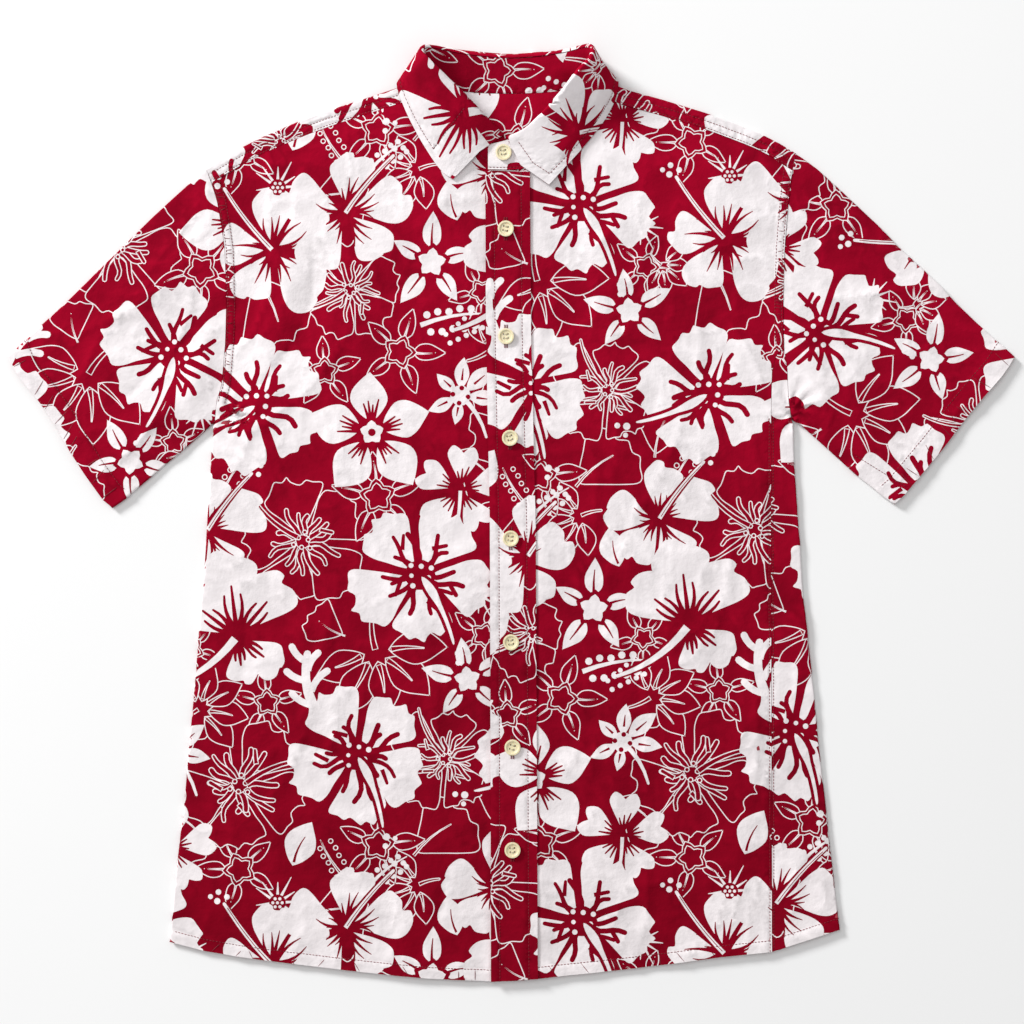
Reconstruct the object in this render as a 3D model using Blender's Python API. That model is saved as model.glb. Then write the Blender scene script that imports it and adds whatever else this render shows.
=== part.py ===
"""A man's short-sleeved button-front shirt, buttoned up and laid flat on its back.

X runs across the shirt towards the wearer's left, Y from the hem up to the collar and Z up
from the surface that the shirt lies on. Tables and sizes are in millimetres. Every piece of
cloth is a wall between its skin, which is the face that shows from outside, and its lining
face. The lower layer lies on Z = 0, the upper layer lies on it, and the two meet in a soft
roll along each folded side.
"""

import math

import bmesh
import bpy
import numpy as np

MM = 0.001
CENTRE = (0.42, -0.49, 0.0)  # middle of the whole outline in the tables, which becomes the origin

# ---------------------------------------------------------------- sizes
PLY = 1.1  # wall of one ply of cloth
TWO_PLY = 1.5  # wall of the yoke, the stand and the collar leaf
SEAM = 0.3  # gap between pieces that are sewn together
LIE = 3.6  # height of the upper layer's skin where the shirt lies flat
LEAF_ROOM = 1.8  # lift of the neck and shoulders over the leaf that lies under them
BAND_RISE = 0.95  # lift of the left front over the right front, along the button band
BAND_DIP = 0.6  # how much lower the right front lies there
ROLL_STEPS = 5  # facets round a side roll
YOKE_SEAM_Y = 270.6
UNDERLAP_X = 12.0  # edge of the right front, under the button band
BUTTON_RADIUS = 6.9
STAND_CURVE = 0.2  # how far the stand bulges over its middle line at the top button

CRIMSON = (0.42, 0.0, 0.03)
IVORY = (0.78, 0.70, 0.46)

# ---------------------------------------------------------------- outline tables, from above
# side rolls, (x, y) from the hem to the underarm: the outermost line of the body
BODY_RIGHT_SIDE = [  # the wearer's right, at -X
    (-297.5, -372.4), (-294.1, -335.8), (-289.7, -292.3), (-284.5, -248.8), (-281.0, -205.3),
    (-276.7, -161.8), (-273.2, -118.3), (-269.7, -74.8), (-266.2, -31.3), (-263.6, 12.2),
    (-261.0, 55.7), (-259.8, 78.0),
]
BODY_LEFT_SIDE = [  # the wearer's left, at +X
    (286.2, -361.9), (283.6, -335.8), (278.4, -292.3), (274.1, -248.8), (268.8, -205.3),
    (264.5, -161.8), (260.1, -118.3), (254.9, -74.8), (252.3, -31.3), (248.8, 12.2),
    (246.4, 55.7), (246.0, 80.0),
]
HEM = [  # (x, y) from the wearer's right to the left
    (-297.5, -372.4), (-274.9, -378.4), (-253.2, -382.8), (-209.7, -388.9), (-166.2, -394.1),
    (-122.7, -399.3), (-79.2, -403.7), (-35.7, -405.8), (-15.7, -406.7), (7.8, -405.8),
    (51.3, -401.1), (94.8, -396.7), (138.3, -391.5), (181.8, -385.4), (225.3, -381.1),
    (255.8, -375.8), (286.2, -361.9),
]
ARMHOLE_RIGHT = [  # (x, y) from the underarm to the shoulder; every row is a corner of the cloth
    (-257.5, 82.0), (-255.8, 98.3), (-251.8, 111.4), (-250.1, 127.9), (-248.5, 147.0),
    (-247.9, 163.0), (-247.6, 181.0), (-247.9, 205.0), (-248.8, 229.7), (-251.6, 250.0),
    (-255.3, 270.6), (-257.0, 277.0), (-258.9, 283.0), (-260.6, 288.5), (-262.0, 292.0),
    (-263.3, 295.5), (-264.6, 299.0),
]
ARMHOLE_LEFT = [
    (243.6, 84.4), (241.4, 99.2), (240.6, 113.1), (240.2, 126.2), (237.6, 141.8),
    (236.7, 160.0), (236.6, 180.1), (237.1, 205.0), (237.9, 229.7), (239.4, 250.0),
    (241.2, 270.6), (242.2, 280.0), (243.3, 290.0), (244.8, 299.0), (245.5, 303.5),
    (246.4, 308.0), (247.3, 312.6),
]
PANEL_TOP, SEAM_ROW = 10, 13  # rows where the yoke seam and the shoulder seams end
SEAM_MEETS = 4  # row of the left armhole where the side seam ends
SHOULDER_RIGHT = [  # (x, y) from the armhole to the neck: the shoulder's outermost line
    (-266.2, 301.0), (-253.2, 308.9), (-240.1, 316.7), (-214.0, 329.7), (-187.9, 341.0),
    (-161.8, 350.6), (-135.7, 359.3), (-109.6, 367.6), (-96.6, 371.2), (-71.0, 381.3),
]
SHOULDER_LEFT = [
    (248.8, 314.9), (234.0, 322.8), (221.0, 329.7), (194.9, 340.2), (168.8, 349.7),
    (142.7, 357.6), (116.6, 365.2), (97.0, 370.0), (71.0, 382.2),
]
FORWARD = 12.0  # how far in front of the shoulder line the shoulder seam runs
SLEEVE_RIGHT_TOP = [  # (x, y) from the armhole to the cuff
    (-266.2, 301.0), (-296.7, 273.2), (-320.2, 251.4), (-341.9, 229.7), (-363.7, 207.9),
    (-385.4, 186.2), (-409.8, 164.4), (-430.6, 144.6), (-437.6, 138.3),
]
SLEEVE_RIGHT_UNDER = [
    (-259.3, 78.0), (-284.5, 55.7), (-310.6, 33.9), (-336.7, 12.2), (-347.1, 5.2),
]
CUFF_RIGHT = [  # (x, y) from the underarm to the top
    (-347.1, 5.2), (-355.0, 12.2), (-370.6, 33.9), (-384.5, 55.7), (-396.7, 77.4),
    (-411.5, 99.2), (-429.8, 120.9), (-437.6, 138.3),
]
SLEEVE_LEFT_TOP = [
    (248.8, 314.9), (274.1, 294.9), (296.7, 273.2), (320.2, 251.4), (341.0, 229.7),
    (365.4, 207.9), (385.4, 186.2), (408.0, 164.4), (431.5, 143.6), (438.5, 136.6),
]
SLEEVE_LEFT_UNDER = [
    (246.2, 81.8), (252.3, 77.4), (275.8, 55.7), (300.1, 33.9), (328.0, 12.2), (334.1, 8.7),
]
CUFF_LEFT = [
    (334.1, 8.7), (338.4, 12.2), (356.7, 33.9), (375.0, 55.7), (391.5, 77.4), (408.9, 99.2),
    (428.0, 120.9), (438.5, 136.6),
]
SIDE_SEAM_LEFT = [  # (x, y) where the back, rolled forward, meets the left front
    (227.1, -381.0), (226.6, -161.8), (226.2, -40.0), (226.3, 84.4),
]
SIDE_SEAM_LEFT_TOP = [
    (226.3, 84.4), (226.5, 104.0), (227.1, 123.5), (230.6, 137.5), (234.0, 142.0),
]
BAND_EDGE_FRONT = [(-17.4, -406.3), (-18.3, -13.1), (-21.8, 160.1), (-22.4, 297.4)]
BAND_EDGE_SEWN = [(23.5, -404.2), (23.3, -388.0), (21.5, -13.1), (17.4, 160.1), (16.5, 297.4)]
BUTTONS = [  # (x, y) down the front; the first is on the stand
    (-6.5, 314.1), (-4.6, 247.9), (-4.3, 154.4), (-0.9, 66.1), (-0.3, -21.3), (0.0, -111.4),
    (1.3, -202.7), (1.3, -291.9),
]

# soft folds of the cloth: centre, run of the fold in degrees, half its length and width, rise
FOLDS = [  # (x, y, angle, length, width, rise)
    (-270.0, 132.0, 80.0, 42.0, 12.0, 3.2),
    (-300.0, 92.0, 38.0, 48.0, 11.0, 1.8),
    (-312.0, 190.0, 44.0, 70.0, 20.0, 1.5),
    (-345.0, 110.0, 52.0, 55.0, 14.0, 1.2),
    (262.0, 128.0, -62.0, 34.0, 12.0, 3.4),
    (285.0, 90.0, -38.0, 50.0, 11.0, 1.8),
    (312.0, 205.0, -42.0, 72.0, 20.0, 1.6),
    (352.0, 118.0, -55.0, 52.0, 13.0, 1.1),
    (-205.0, 150.0, 76.0, 95.0, 17.0, 2.0),
    (-165.0, -60.0, 84.0, 130.0, 22.0, 1.5),
    (-120.0, 215.0, 60.0, 80.0, 20.0, 1.4),
    (-90.0, -230.0, 95.0, 120.0, 24.0, 1.4),
    (-215.0, -250.0, 100.0, 110.0, 20.0, 1.7),
    (95.0, 120.0, 96.0, 110.0, 22.0, 1.5),
    (180.0, 205.0, 108.0, 80.0, 18.0, 1.9),
    (150.0, -70.0, 82.0, 120.0, 20.0, 1.6),
    (90.0, -250.0, 88.0, 110.0, 22.0, 1.3),
    (205.0, -250.0, 78.0, 100.0, 18.0, 1.8),
]

# the collar, round the neck from the right front to the left. For each section: the foot of
# the stand, its top, the knee where the leaf turns, the leaf's edge. Walls are centred on these
COLLAR_COLUMNS = "foot_x foot_y foot_z top_x top_y top_z knee_x knee_y knee_z edge_x edge_y edge_z"
COLLAR = [
    (-10.0, 299.4, 2.7, -9.0, 328.6, 3.2, -27.5, 314.5, 8.0, -50.5, 291.0, 5.2),
    (-35.0, 317.0, 4.2, -25.5, 345.5, 14.0, -46.0, 321.0, 10.5, -61.8, 300.0, 5.0),
    (-53.0, 337.0, 4.6, -43.0, 363.0, 21.0, -62.5, 340.0, 15.0, -76.5, 322.0, 5.2),
    (-64.0, 358.0, 5.0, -60.0, 380.0, 26.5, -78.0, 360.5, 18.0, -88.5, 344.0, 6.4),
    (-66.8, 368.0, 5.2, -70.5, 390.5, 29.0, -88.0, 375.0, 18.5, -97.8, 366.0, 6.8),
    (-67.3, 372.0, 5.0, -73.0, 393.5, 29.0, -91.0, 379.5, 17.5, -98.9, 371.8, 6.5),
    (-67.5, 375.0, 4.8, -74.5, 396.0, 28.5, -92.0, 382.5, 15.5, -99.2, 375.0, 3.8),
    (-67.4, 377.0, 4.6, -75.0, 397.5, 28.0, -96.9, 378.6, 3.2, -97.8, 375.0, 0.75),
    (-67.0, 378.8, 4.4, -75.0, 398.8, 27.5, -94.0, 382.5, 3.2, -92.0, 365.0, 0.75),
    (-66.2, 378.4, 4.0, -74.0, 400.2, 26.0, -88.6, 390.2, 3.2, -82.0, 359.5, 0.75),
    (-63.8, 376.2, 3.6, -71.5, 401.6, 23.0, -80.4, 400.4, 3.2, -69.0, 357.0, 0.75),
    (-58.5, 372.4, 3.2, -64.0, 401.6, 18.0, -67.0, 404.9, 3.2, -55.0, 356.0, 0.75),
    (-47.5, 368.6, 2.9, -49.5, 399.6, 12.5, -50.0, 403.6, 3.2, -41.0, 355.5, 0.75),
    (-26.0, 366.7, 2.8, -26.5, 396.8, 10.0, -26.5, 401.0, 3.2, -22.0, 355.5, 0.75),
    (0.0, 366.0, 2.8, 0.5, 395.2, 9.4, 1.0, 399.5, 3.2, 0.0, 355.5, 0.75),
    (26.0, 366.9, 2.8, 27.0, 397.0, 10.0, 27.5, 401.4, 3.2, 22.0, 355.5, 0.75),
    (46.5, 369.0, 2.9, 47.5, 399.8, 12.5, 48.5, 403.6, 3.2, 41.0, 355.5, 0.75),
    (57.5, 372.8, 3.2, 59.0, 401.8, 18.0, 60.0, 405.0, 3.2, 54.0, 356.0, 0.75),
    (63.2, 377.0, 3.6, 65.0, 401.8, 23.0, 72.6, 400.6, 3.2, 66.0, 357.5, 0.75),
    (66.2, 379.2, 4.0, 67.5, 400.2, 26.0, 79.6, 389.8, 3.2, 76.0, 360.5, 0.75),
    (67.0, 379.6, 4.4, 68.6, 398.4, 27.5, 86.0, 382.6, 3.2, 85.0, 366.5, 0.75),
    (67.4, 377.8, 4.6, 68.6, 397.0, 28.0, 91.0, 378.6, 3.2, 91.6, 375.4, 0.75),
    (67.4, 375.6, 4.8, 68.2, 395.2, 28.5, 86.0, 382.0, 15.5, 93.0, 375.4, 3.8),
    (67.3, 372.4, 5.0, 67.2, 392.6, 29.0, 84.5, 379.0, 17.5, 92.8, 372.0, 6.5),
    (66.6, 368.0, 5.2, 65.4, 389.4, 29.0, 82.0, 374.5, 18.5, 91.8, 366.2, 6.8),
    (64.2, 360.0, 5.0, 58.5, 382.6, 27.0, 77.5, 364.5, 18.0, 88.6, 355.8, 6.4),
    (54.0, 340.0, 4.8, 44.0, 364.0, 22.0, 67.0, 346.5, 14.5, 79.0, 339.0, 5.4),
    (38.0, 319.5, 4.8, 28.0, 345.5, 15.0, 51.5, 325.0, 11.0, 64.0, 320.5, 5.4),
    (18.5, 304.5, 5.0, 12.5, 332.0, 9.0, 34.0, 309.0, 9.0, 47.5, 302.0, 6.4),
    (5.5, 299.8, 5.3, -2.5, 325.5, 5.5, 8.5, 303.0, 7.9, 33.0, 286.0, 7.2),
]
UNDER_TAB = (9.6, 299.4, 2.5, 9.6, 325.0, 3.2)  # the stand's right end, under the other
BUTTON_TAB = (-20.0, 299.6, 5.3, -20.0, 321.0, 5.3)  # its left end, on top


# ---------------------------------------------------------------- lines and heights
def step(t):
    """Smooth step from 0 at t = 0 to 1 at t = 1."""
    t = np.clip(t, 0.0, 1.0)
    return t * t * (3.0 - 2.0 * t)


def run(points, count, first=0.0, last=1.0):
    """count points evenly spaced along a line through the given points, as an array."""
    line = np.array(points, float)
    along = np.r_[0.0, np.cumsum(np.linalg.norm(np.diff(line, axis=0), axis=1))]
    at = np.linspace(first, last, count) * along[-1]
    return np.stack([np.interp(at, along, line[:, k]) for k in range(line.shape[1])], axis=1)


def join(*lines):
    """One line from several that meet end to end."""
    return np.concatenate([lines[0]] + [line[1:] for line in lines[1:]])


def shift(points, distance):
    """The line moved sideways in plan, to the left of its direction of travel."""
    line = np.array(points, float)
    along = np.gradient(line[:, :2], axis=0)
    along /= np.linalg.norm(along, axis=1, keepdims=True)
    moved = line.copy()
    moved[:, 0] -= distance * along[:, 1]
    moved[:, 1] += distance * along[:, 0]
    return moved


def cut_y(points, low, high):
    """The stretch of an upward line between two heights in Y."""
    line = np.array(points, float)
    inside = line[(line[:, 1] > low) & (line[:, 1] < high)]
    ends = [[np.interp(y, line[:, 1], line[:, 0]), y] for y in (low, high)]
    return np.concatenate([[ends[0]], inside, [ends[1]]])


def hem_y(x):
    table = np.array(HEM)
    return np.interp(x, table[:, 0], table[:, 1])


def fold_rise(x, y):
    total = np.zeros(np.broadcast(x, y).shape)
    for fx, fy, angle, length, width, rise in FOLDS:
        c, s = math.cos(math.radians(angle)), math.sin(math.radians(angle))
        along = ((x - fx) * c + (y - fy) * s) / length
        across = ((y - fy) * c - (x - fx) * s) / width
        total = total + rise * np.exp(-(along**2)) * np.exp(-(across**2))
    return total


def under(x, y):
    """Height of the lower layer's skin: zero, but for the neck, which lies on the leaf."""
    return LEAF_ROOM * step((116.0 - np.abs(x + 3.0)) / 18.0) * step((y - 322.0) / 20.0)


def over(x, y):
    """Height of the upper layer's skin."""
    return LIE + under(x, y) + fold_rise(x, y)


def over_right_front(x, y):
    return over(x, y) - BAND_DIP * step((x + 40.0) / 16.0)


def over_left_front(x, y):
    return over(x, y) + BAND_RISE * step((40.0 - np.abs(x)) / 16.0)


def band_skin(x, y):
    """Height of the button band's skin: the left front's, moved out by the band's wall."""
    return over_left_front(x, y) + SEAM + PLY


# ---------------------------------------------------------------- walls of cloth
def coons(bottom, top, left, right):
    """Grid in plan between four edge lines; rows run from bottom to top."""
    u = np.linspace(0.0, 1.0, len(bottom))[None, :, None]
    v = np.linspace(0.0, 1.0, len(left))[:, None, None]
    ruled = (1 - v) * bottom[None] + v * top[None] + (1 - u) * left[:, None] + u * right[:, None]
    corners = (
        (1 - u) * (1 - v) * bottom[0] + u * (1 - v) * bottom[-1]
        + (1 - u) * v * top[0] + u * v * top[-1]
    )
    return ruled - corners


def layer(plan, height, wall):
    """(skin, lining) of a layer: wall is positive below the skin and negative above it."""
    z = height(plan[..., 0], plan[..., 1])
    return np.dstack([plan, z]), np.dstack([plan, z - wall])


def roll(edge, outward, wall, height=over):
    """(skin, lining) of the roll that joins the upper layer to the lower one along an edge."""
    high, low = height(edge[:, 0], edge[:, 1]), under(edge[:, 0], edge[:, 1])
    radius, middle = (high - low) / 2, (high + low) / 2
    faces = []
    for r in (radius, radius - wall):
        turn = np.linspace(math.pi / 2, -math.pi / 2, ROLL_STEPS + 1)
        out = r[:, None] * np.cos(turn)[None, :]
        up = middle[:, None] + r[:, None] * np.sin(turn)[None, :]
        faces.append(np.dstack([
            edge[:, None, 0] + outward[:, None, 0] * out,
            edge[:, None, 1] + outward[:, None, 1] * out, up,
        ]))
    return tuple(faces)


def outward_of(edge, side, first=None, last=None):
    """Unit directions in plan square to an edge, to its left for side 1 and right for -1.
    The ends can be given, where the edge meets another piece's roll at a mitre."""
    along = np.gradient(edge, axis=0)
    out = side * np.stack([-along[:, 1], along[:, 0]], axis=1)
    out /= np.linalg.norm(out, axis=1, keepdims=True)
    if first is not None:
        out[0] = first
    if last is not None:
        out[-1] = last
    return out / np.linalg.norm(out, axis=1, keepdims=True)


def material(name, colour, roughness):
    made = bpy.data.materials.new(name)
    made.use_nodes = True
    shader = made.node_tree.nodes["Principled BSDF"]
    shader.inputs["Base Color"].default_value = (*colour, 1.0)
    shader.inputs["Roughness"].default_value = roughness
    shader.inputs["Metallic"].default_value = 0.0
    made.diffuse_color = (*colour, 1.0)
    return made


def place(name, mesh, finish):
    """A new object of the mesh, in the scene and shaded smooth up to 40 degrees."""
    piece = bpy.data.objects.new(name, mesh)
    bpy.context.scene.collection.objects.link(piece)
    mesh.materials.append(finish)
    mesh.shade_smooth()
    mesh.set_sharp_from_angle(angle=math.radians(40.0))
    return piece


def cloth(name, *patches):
    """One closed wall from patches of (skin, lining) grids, welded where their edges meet."""
    bm = bmesh.new()
    points, pairs = {}, {}

    def vertex(point):
        key = tuple(np.round(point, 3))
        if key not in points:
            points[key] = bm.verts.new((np.array(point) - CENTRE) * MM)
        return points[key]

    for skin, lining in patches:
        rows, columns = skin.shape[:2]
        for i in range(rows - 1):
            for j in range(columns - 1):
                corners = [(i, j), (i, j + 1), (i + 1, j + 1), (i + 1, j)]
                face = [vertex(skin[c]) for c in corners]
                back = [vertex(lining[c]) for c in corners]
                pairs.update(zip(face, back))
                bm.faces.new(face)
                bm.faces.new(back[::-1])
    skin_rim = [edge for edge in bm.edges if edge.is_boundary and edge.verts[0] in pairs
                and edge.verts[1] in pairs]
    for edge in skin_rim:
        a, b = edge.verts
        bm.faces.new((a, b, pairs[b], pairs[a]))
    bmesh.ops.recalc_face_normals(bm, faces=bm.faces)
    mesh = bpy.data.meshes.new(name)
    bm.to_mesh(mesh)
    bm.free()
    return place(name, mesh, material(f"{name}_cotton", CRIMSON, 0.9))


# ---------------------------------------------------------------- edges that pieces share
LOW_ROWS = 18  # rows of each panel below the underarm
COLUMNS = 12  # across each front, and along each shoulder
UNDERARM_RIGHT = np.array([-0.42, -0.91])  # mitre of the sleeve's roll and the body's
UNDERARM_LEFT = np.array([0.434, -0.90])
SHOULDER_MITRE_RIGHT = np.array([-0.60, 0.80])
SHOULDER_MITRE_LEFT = np.array([0.545, 0.838])
HALF = LIE / 2  # radius of a roll

armhole_right, armhole_left = np.array(ARMHOLE_RIGHT), np.array(ARMHOLE_LEFT)
side_right = run(shift(BODY_RIGHT_SIDE, -HALF), LOW_ROWS)
side_right[-1] = armhole_right[0]
side_left = run(shift(BODY_LEFT_SIDE, HALF), LOW_ROWS)
side_left[-1] = armhole_left[0]
side_seam = run(SIDE_SEAM_LEFT, LOW_ROWS)
shoulder_right = run(shift(SHOULDER_RIGHT, -HALF), COLUMNS)
shoulder_right[0] = armhole_right[-1]
shoulder_left = run(shift(SHOULDER_LEFT, HALF), COLUMNS)
shoulder_left[0] = armhole_left[-1]

collar = {name: np.array(values) for name, values in zip(COLLAR_COLUMNS.split(), zip(*COLLAR))}


def collar_points(part):
    return np.stack([collar[f"{part}_{axis}"] for axis in "xyz"], axis=1)


def unit(vectors):
    return vectors / np.linalg.norm(vectors, axis=-1, keepdims=True)


NECK_RIGHT, NECK_LEFT = 8, 20  # sections of the collar that stand on the shoulder line
SEAM_NECK_RIGHT, SEAM_NECK_LEFT = 4, 24  # sections where the shoulder seams meet the neck


def neckline():
    """The neck edge of the fronts and the yoke: just clear of the foot of the stand."""
    foot, top = collar_points("foot"), collar_points("top")
    steep = np.abs(unit(top - foot)[:, 2])
    clear = SEAM + 0.15 + TWO_PLY / 2 * steep
    clear[NECK_RIGHT:NECK_LEFT] *= -1.0  # behind, the cloth lies on the stand's other side
    return shift(foot[:, :2], clear)


neck_line = neckline()
neck_line[NECK_RIGHT] = shoulder_right[-1]
neck_line[NECK_LEFT] = shoulder_left[-1]


def forward_seam(shoulder, armhole, neck_end, side):
    """The shoulder seam on the front, from the armhole to the neck."""
    line = shift(shoulder, -side * FORWARD)
    line[0], line[-1] = armhole[SEAM_ROW], neck_end
    return line


forward_right = forward_seam(shoulder_right, armhole_right, neck_line[SEAM_NECK_RIGHT], 1)
forward_left = forward_seam(shoulder_left, armhole_left, neck_line[SEAM_NECK_LEFT], -1)


def strip(first, second, columns):
    """Grid in plan ruled between two edge lines."""
    u = np.linspace(0.0, 1.0, columns)[None, :, None]
    return (1 - u) * first[:, None] + u * second[:, None]


def hem_row(start, end):
    across = np.linspace(start[0], end[0], COLUMNS)
    row = np.stack([across, hem_y(across)], axis=1)
    row[0], row[-1] = start, end
    return row


# ---------------------------------------------------------------- the fronts
FRONT_NECK_Y = 299.0  # the neckline at the centre front


def build_front_left():
    """Everything on the upper layer: from the band to the side seam and the armhole."""
    edge = [(x + 1.6, y) for x, y in BAND_EDGE_FRONT]
    corner = np.array([-20.6, FRONT_NECK_Y])
    seam = shift(side_seam, SEAM / 2)
    seam[0, 1] = hem_y(seam[0, 0])
    outer = np.concatenate([
        seam, shift(SIDE_SEAM_LEFT_TOP, SEAM / 2)[1:],
        [armhole_left[SEAM_MEETS] + (-0.4, 0.5)], armhole_left[SEAM_MEETS + 1 : SEAM_ROW],
        [shift(forward_left, SEAM)[0]],
    ])
    neck = np.concatenate([[corner], neck_line[SEAM_NECK_LEFT:][::-1]])
    neck[-1] = neck[-1] - (0.0, SEAM)
    inner = join(
        run(cut_y(edge, -404.9, 84.4), LOW_ROWS),
        run([(edge[2][0] + 0.3, 84.4), edge[2], corner], len(outer) - LOW_ROWS - len(neck) + 2),
        neck,
    )
    inner[0, 1] = hem_y(inner[0, 0])
    top = shift(forward_left, SEAM)[::-1]
    top[0], top[-1] = inner[-1], outer[-1]
    plan = coons(hem_row(inner[0], outer[0]), top, inner, outer)
    cloth("front_left", layer(plan, over_left_front, PLY))


def build_front_right():
    """The upper layer, the roll at the wearer's right and a strip of the lower layer."""
    corner = np.array([UNDERLAP_X, FRONT_NECK_Y])
    outer = np.concatenate([
        side_right, armhole_right[1:SEAM_ROW], [shift(forward_right, -SEAM)[0]],
    ])
    neck = np.concatenate([[corner, (1.0, FRONT_NECK_Y)], neck_line[: SEAM_NECK_RIGHT + 1]])
    neck[-1] = neck[-1] - (0.0, SEAM)
    inner = join(
        run([(UNDERLAP_X, hem_y(UNDERLAP_X)), (UNDERLAP_X, 82.0)], LOW_ROWS),
        run([(UNDERLAP_X, 82.0), corner], len(outer) - LOW_ROWS - len(neck) + 2),
        neck,
    )
    top = shift(forward_right, -SEAM)[::-1]
    top[0], top[-1] = inner[-1], outer[-1]
    plan = coons(hem_row(inner[0], outer[0]), top, inner, outer)
    cloth(
        "front_right",
        layer(plan, over_right_front, PLY),
        roll(side_right, outward_of(side_right, 1, last=UNDERARM_RIGHT), PLY),
        layer(strip(side_right, side_seam_under(0.0), 4), under, -PLY),
    )


def side_seam_under(gap):
    """The side seam at the wearer's right, on the lower layer under the roll."""
    wrap = 4.0 + 18.0 * step((70.0 - side_right[:, 1]) / 90.0)
    line = side_right + np.stack([wrap + gap, np.zeros(LOW_ROWS)], axis=1)
    line[0, 1] = hem_y(line[0, 0])
    line[-1] = side_right[-1] - UNDERARM_RIGHT * (4.0 + gap)
    return line


# ---------------------------------------------------------------- back and yoke
def build_back():
    """The lower layer, the roll at the wearer's left, and the strip that lies on top there."""
    seam_under = side_seam_under(SEAM)
    right_edge = np.concatenate([seam_under, armhole_right[1 : PANEL_TOP + 1]])
    left_edge = np.concatenate([side_left, armhole_left[1 : PANEL_TOP + 1]])
    right_edge[-1, 1] -= SEAM
    left_edge[-1, 1] -= SEAM
    top = np.linspace(right_edge[-1], left_edge[-1], COLUMNS)
    plan = coons(hem_row(right_edge[0], left_edge[0]), top, right_edge, left_edge)
    seam = shift(side_seam, -SEAM / 2)
    seam[0, 1] = hem_y(seam[0, 0])
    seam_top = shift(SIDE_SEAM_LEFT_TOP, -SEAM / 2)
    seam_top[0] = seam[-1]
    cloth(
        "back",
        layer(plan, under, -PLY),
        roll(side_left, outward_of(side_left, -1, last=UNDERARM_LEFT), PLY),
        layer(strip(side_left, seam, 3), over, PLY),
        layer(strip(armhole_left[: SEAM_MEETS + 1], seam_top, 3), over, PLY),
    )


def build_yoke():
    """Lower layer, the rolls along both shoulders and the strips in front of them."""
    patches, neck_edges = [], []
    sides = (
        (armhole_right, shoulder_right, forward_right, NECK_RIGHT, SEAM_NECK_RIGHT, 1,
         SHOULDER_MITRE_RIGHT),
        (armhole_left, shoulder_left, forward_left, NECK_LEFT, SEAM_NECK_LEFT, -1,
         SHOULDER_MITRE_LEFT),
    )
    for armhole, shoulder, forward, neck, seam_neck, side, mitre in sides:
        hole = armhole[PANEL_TOP:]
        neck_edge = run([(shoulder[-1][0], YOKE_SEAM_Y), shoulder[-1]], len(hole))
        neck_edges.append(neck_edge)
        bottom = np.linspace(hole[0], neck_edge[0], COLUMNS)
        patches.append(layer(coons(bottom, shoulder, hole, neck_edge), under, -TWO_PLY))
        patches.append(roll(shoulder, outward_of(shoulder, side, first=mitre), TWO_PLY))
        by_collar = neck_line[neck:seam_neck:-1] if side > 0 else neck_line[neck:seam_neck]
        by_collar = run(np.concatenate([by_collar, [forward[-1]]]), len(armhole) - SEAM_ROW)
        by_armhole = armhole[SEAM_ROW:][::-1]
        patches.append(layer(coons(shoulder, forward, by_armhole, by_collar), over, TWO_PLY))
    neck = neck_line[NECK_RIGHT : NECK_LEFT + 1]
    bottom = np.linspace(neck_edges[0][0], neck_edges[1][0], len(neck))
    patches.append(layer(coons(bottom, neck, *neck_edges), under, -TWO_PLY))
    cloth("yoke", *patches)


# ---------------------------------------------------------------- sleeves
def build_sleeve(name, armhole, top_edge, under_edge, cuff, side, low_mitre, high_mitre):
    """A tube laid flat: two layers and a roll along the shoulder side and the underarm."""
    stations, columns = 12, len(armhole)
    hole = shift(armhole, side * SEAM)
    low = run(shift(under_edge, -side * HALF), stations)
    high = run(shift(top_edge, side * HALF), stations)
    low[0], high[0] = hole[0], hole[-1]
    end = run(cuff, columns)
    end[0], end[-1] = low[-1], high[-1]
    plan = coons(hole, end, low, high)
    patches = [layer(plan, over, PLY), layer(plan, under, -PLY)]
    patches.append(roll(low, outward_of(low, side, first=low_mitre), PLY))
    patches.append(roll(high, outward_of(high, -side, first=high_mitre), PLY))
    cloth(name, *patches)


# ---------------------------------------------------------------- collar
def wall_of(middle, wall):
    """(skin, lining) of a wall centred on a grid of points."""
    normal = np.cross(np.gradient(middle, axis=0), np.gradient(middle, axis=1))
    normal /= np.linalg.norm(normal, axis=2, keepdims=True)
    return middle + normal * wall / 2, middle - normal * wall / 2


def build_stand():
    foot = np.concatenate([[UNDER_TAB[:3]], collar_points("foot"), [BUTTON_TAB[:3]]])
    top = np.concatenate([[UNDER_TAB[3:]], collar_points("top"), [BUTTON_TAB[3:]]])
    t = np.linspace(0.0, 1.0, 5)[None, :, None]
    cloth("collar_stand", wall_of(foot[:, None] * (1 - t) + top[:, None] * t, TWO_PLY))


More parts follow.
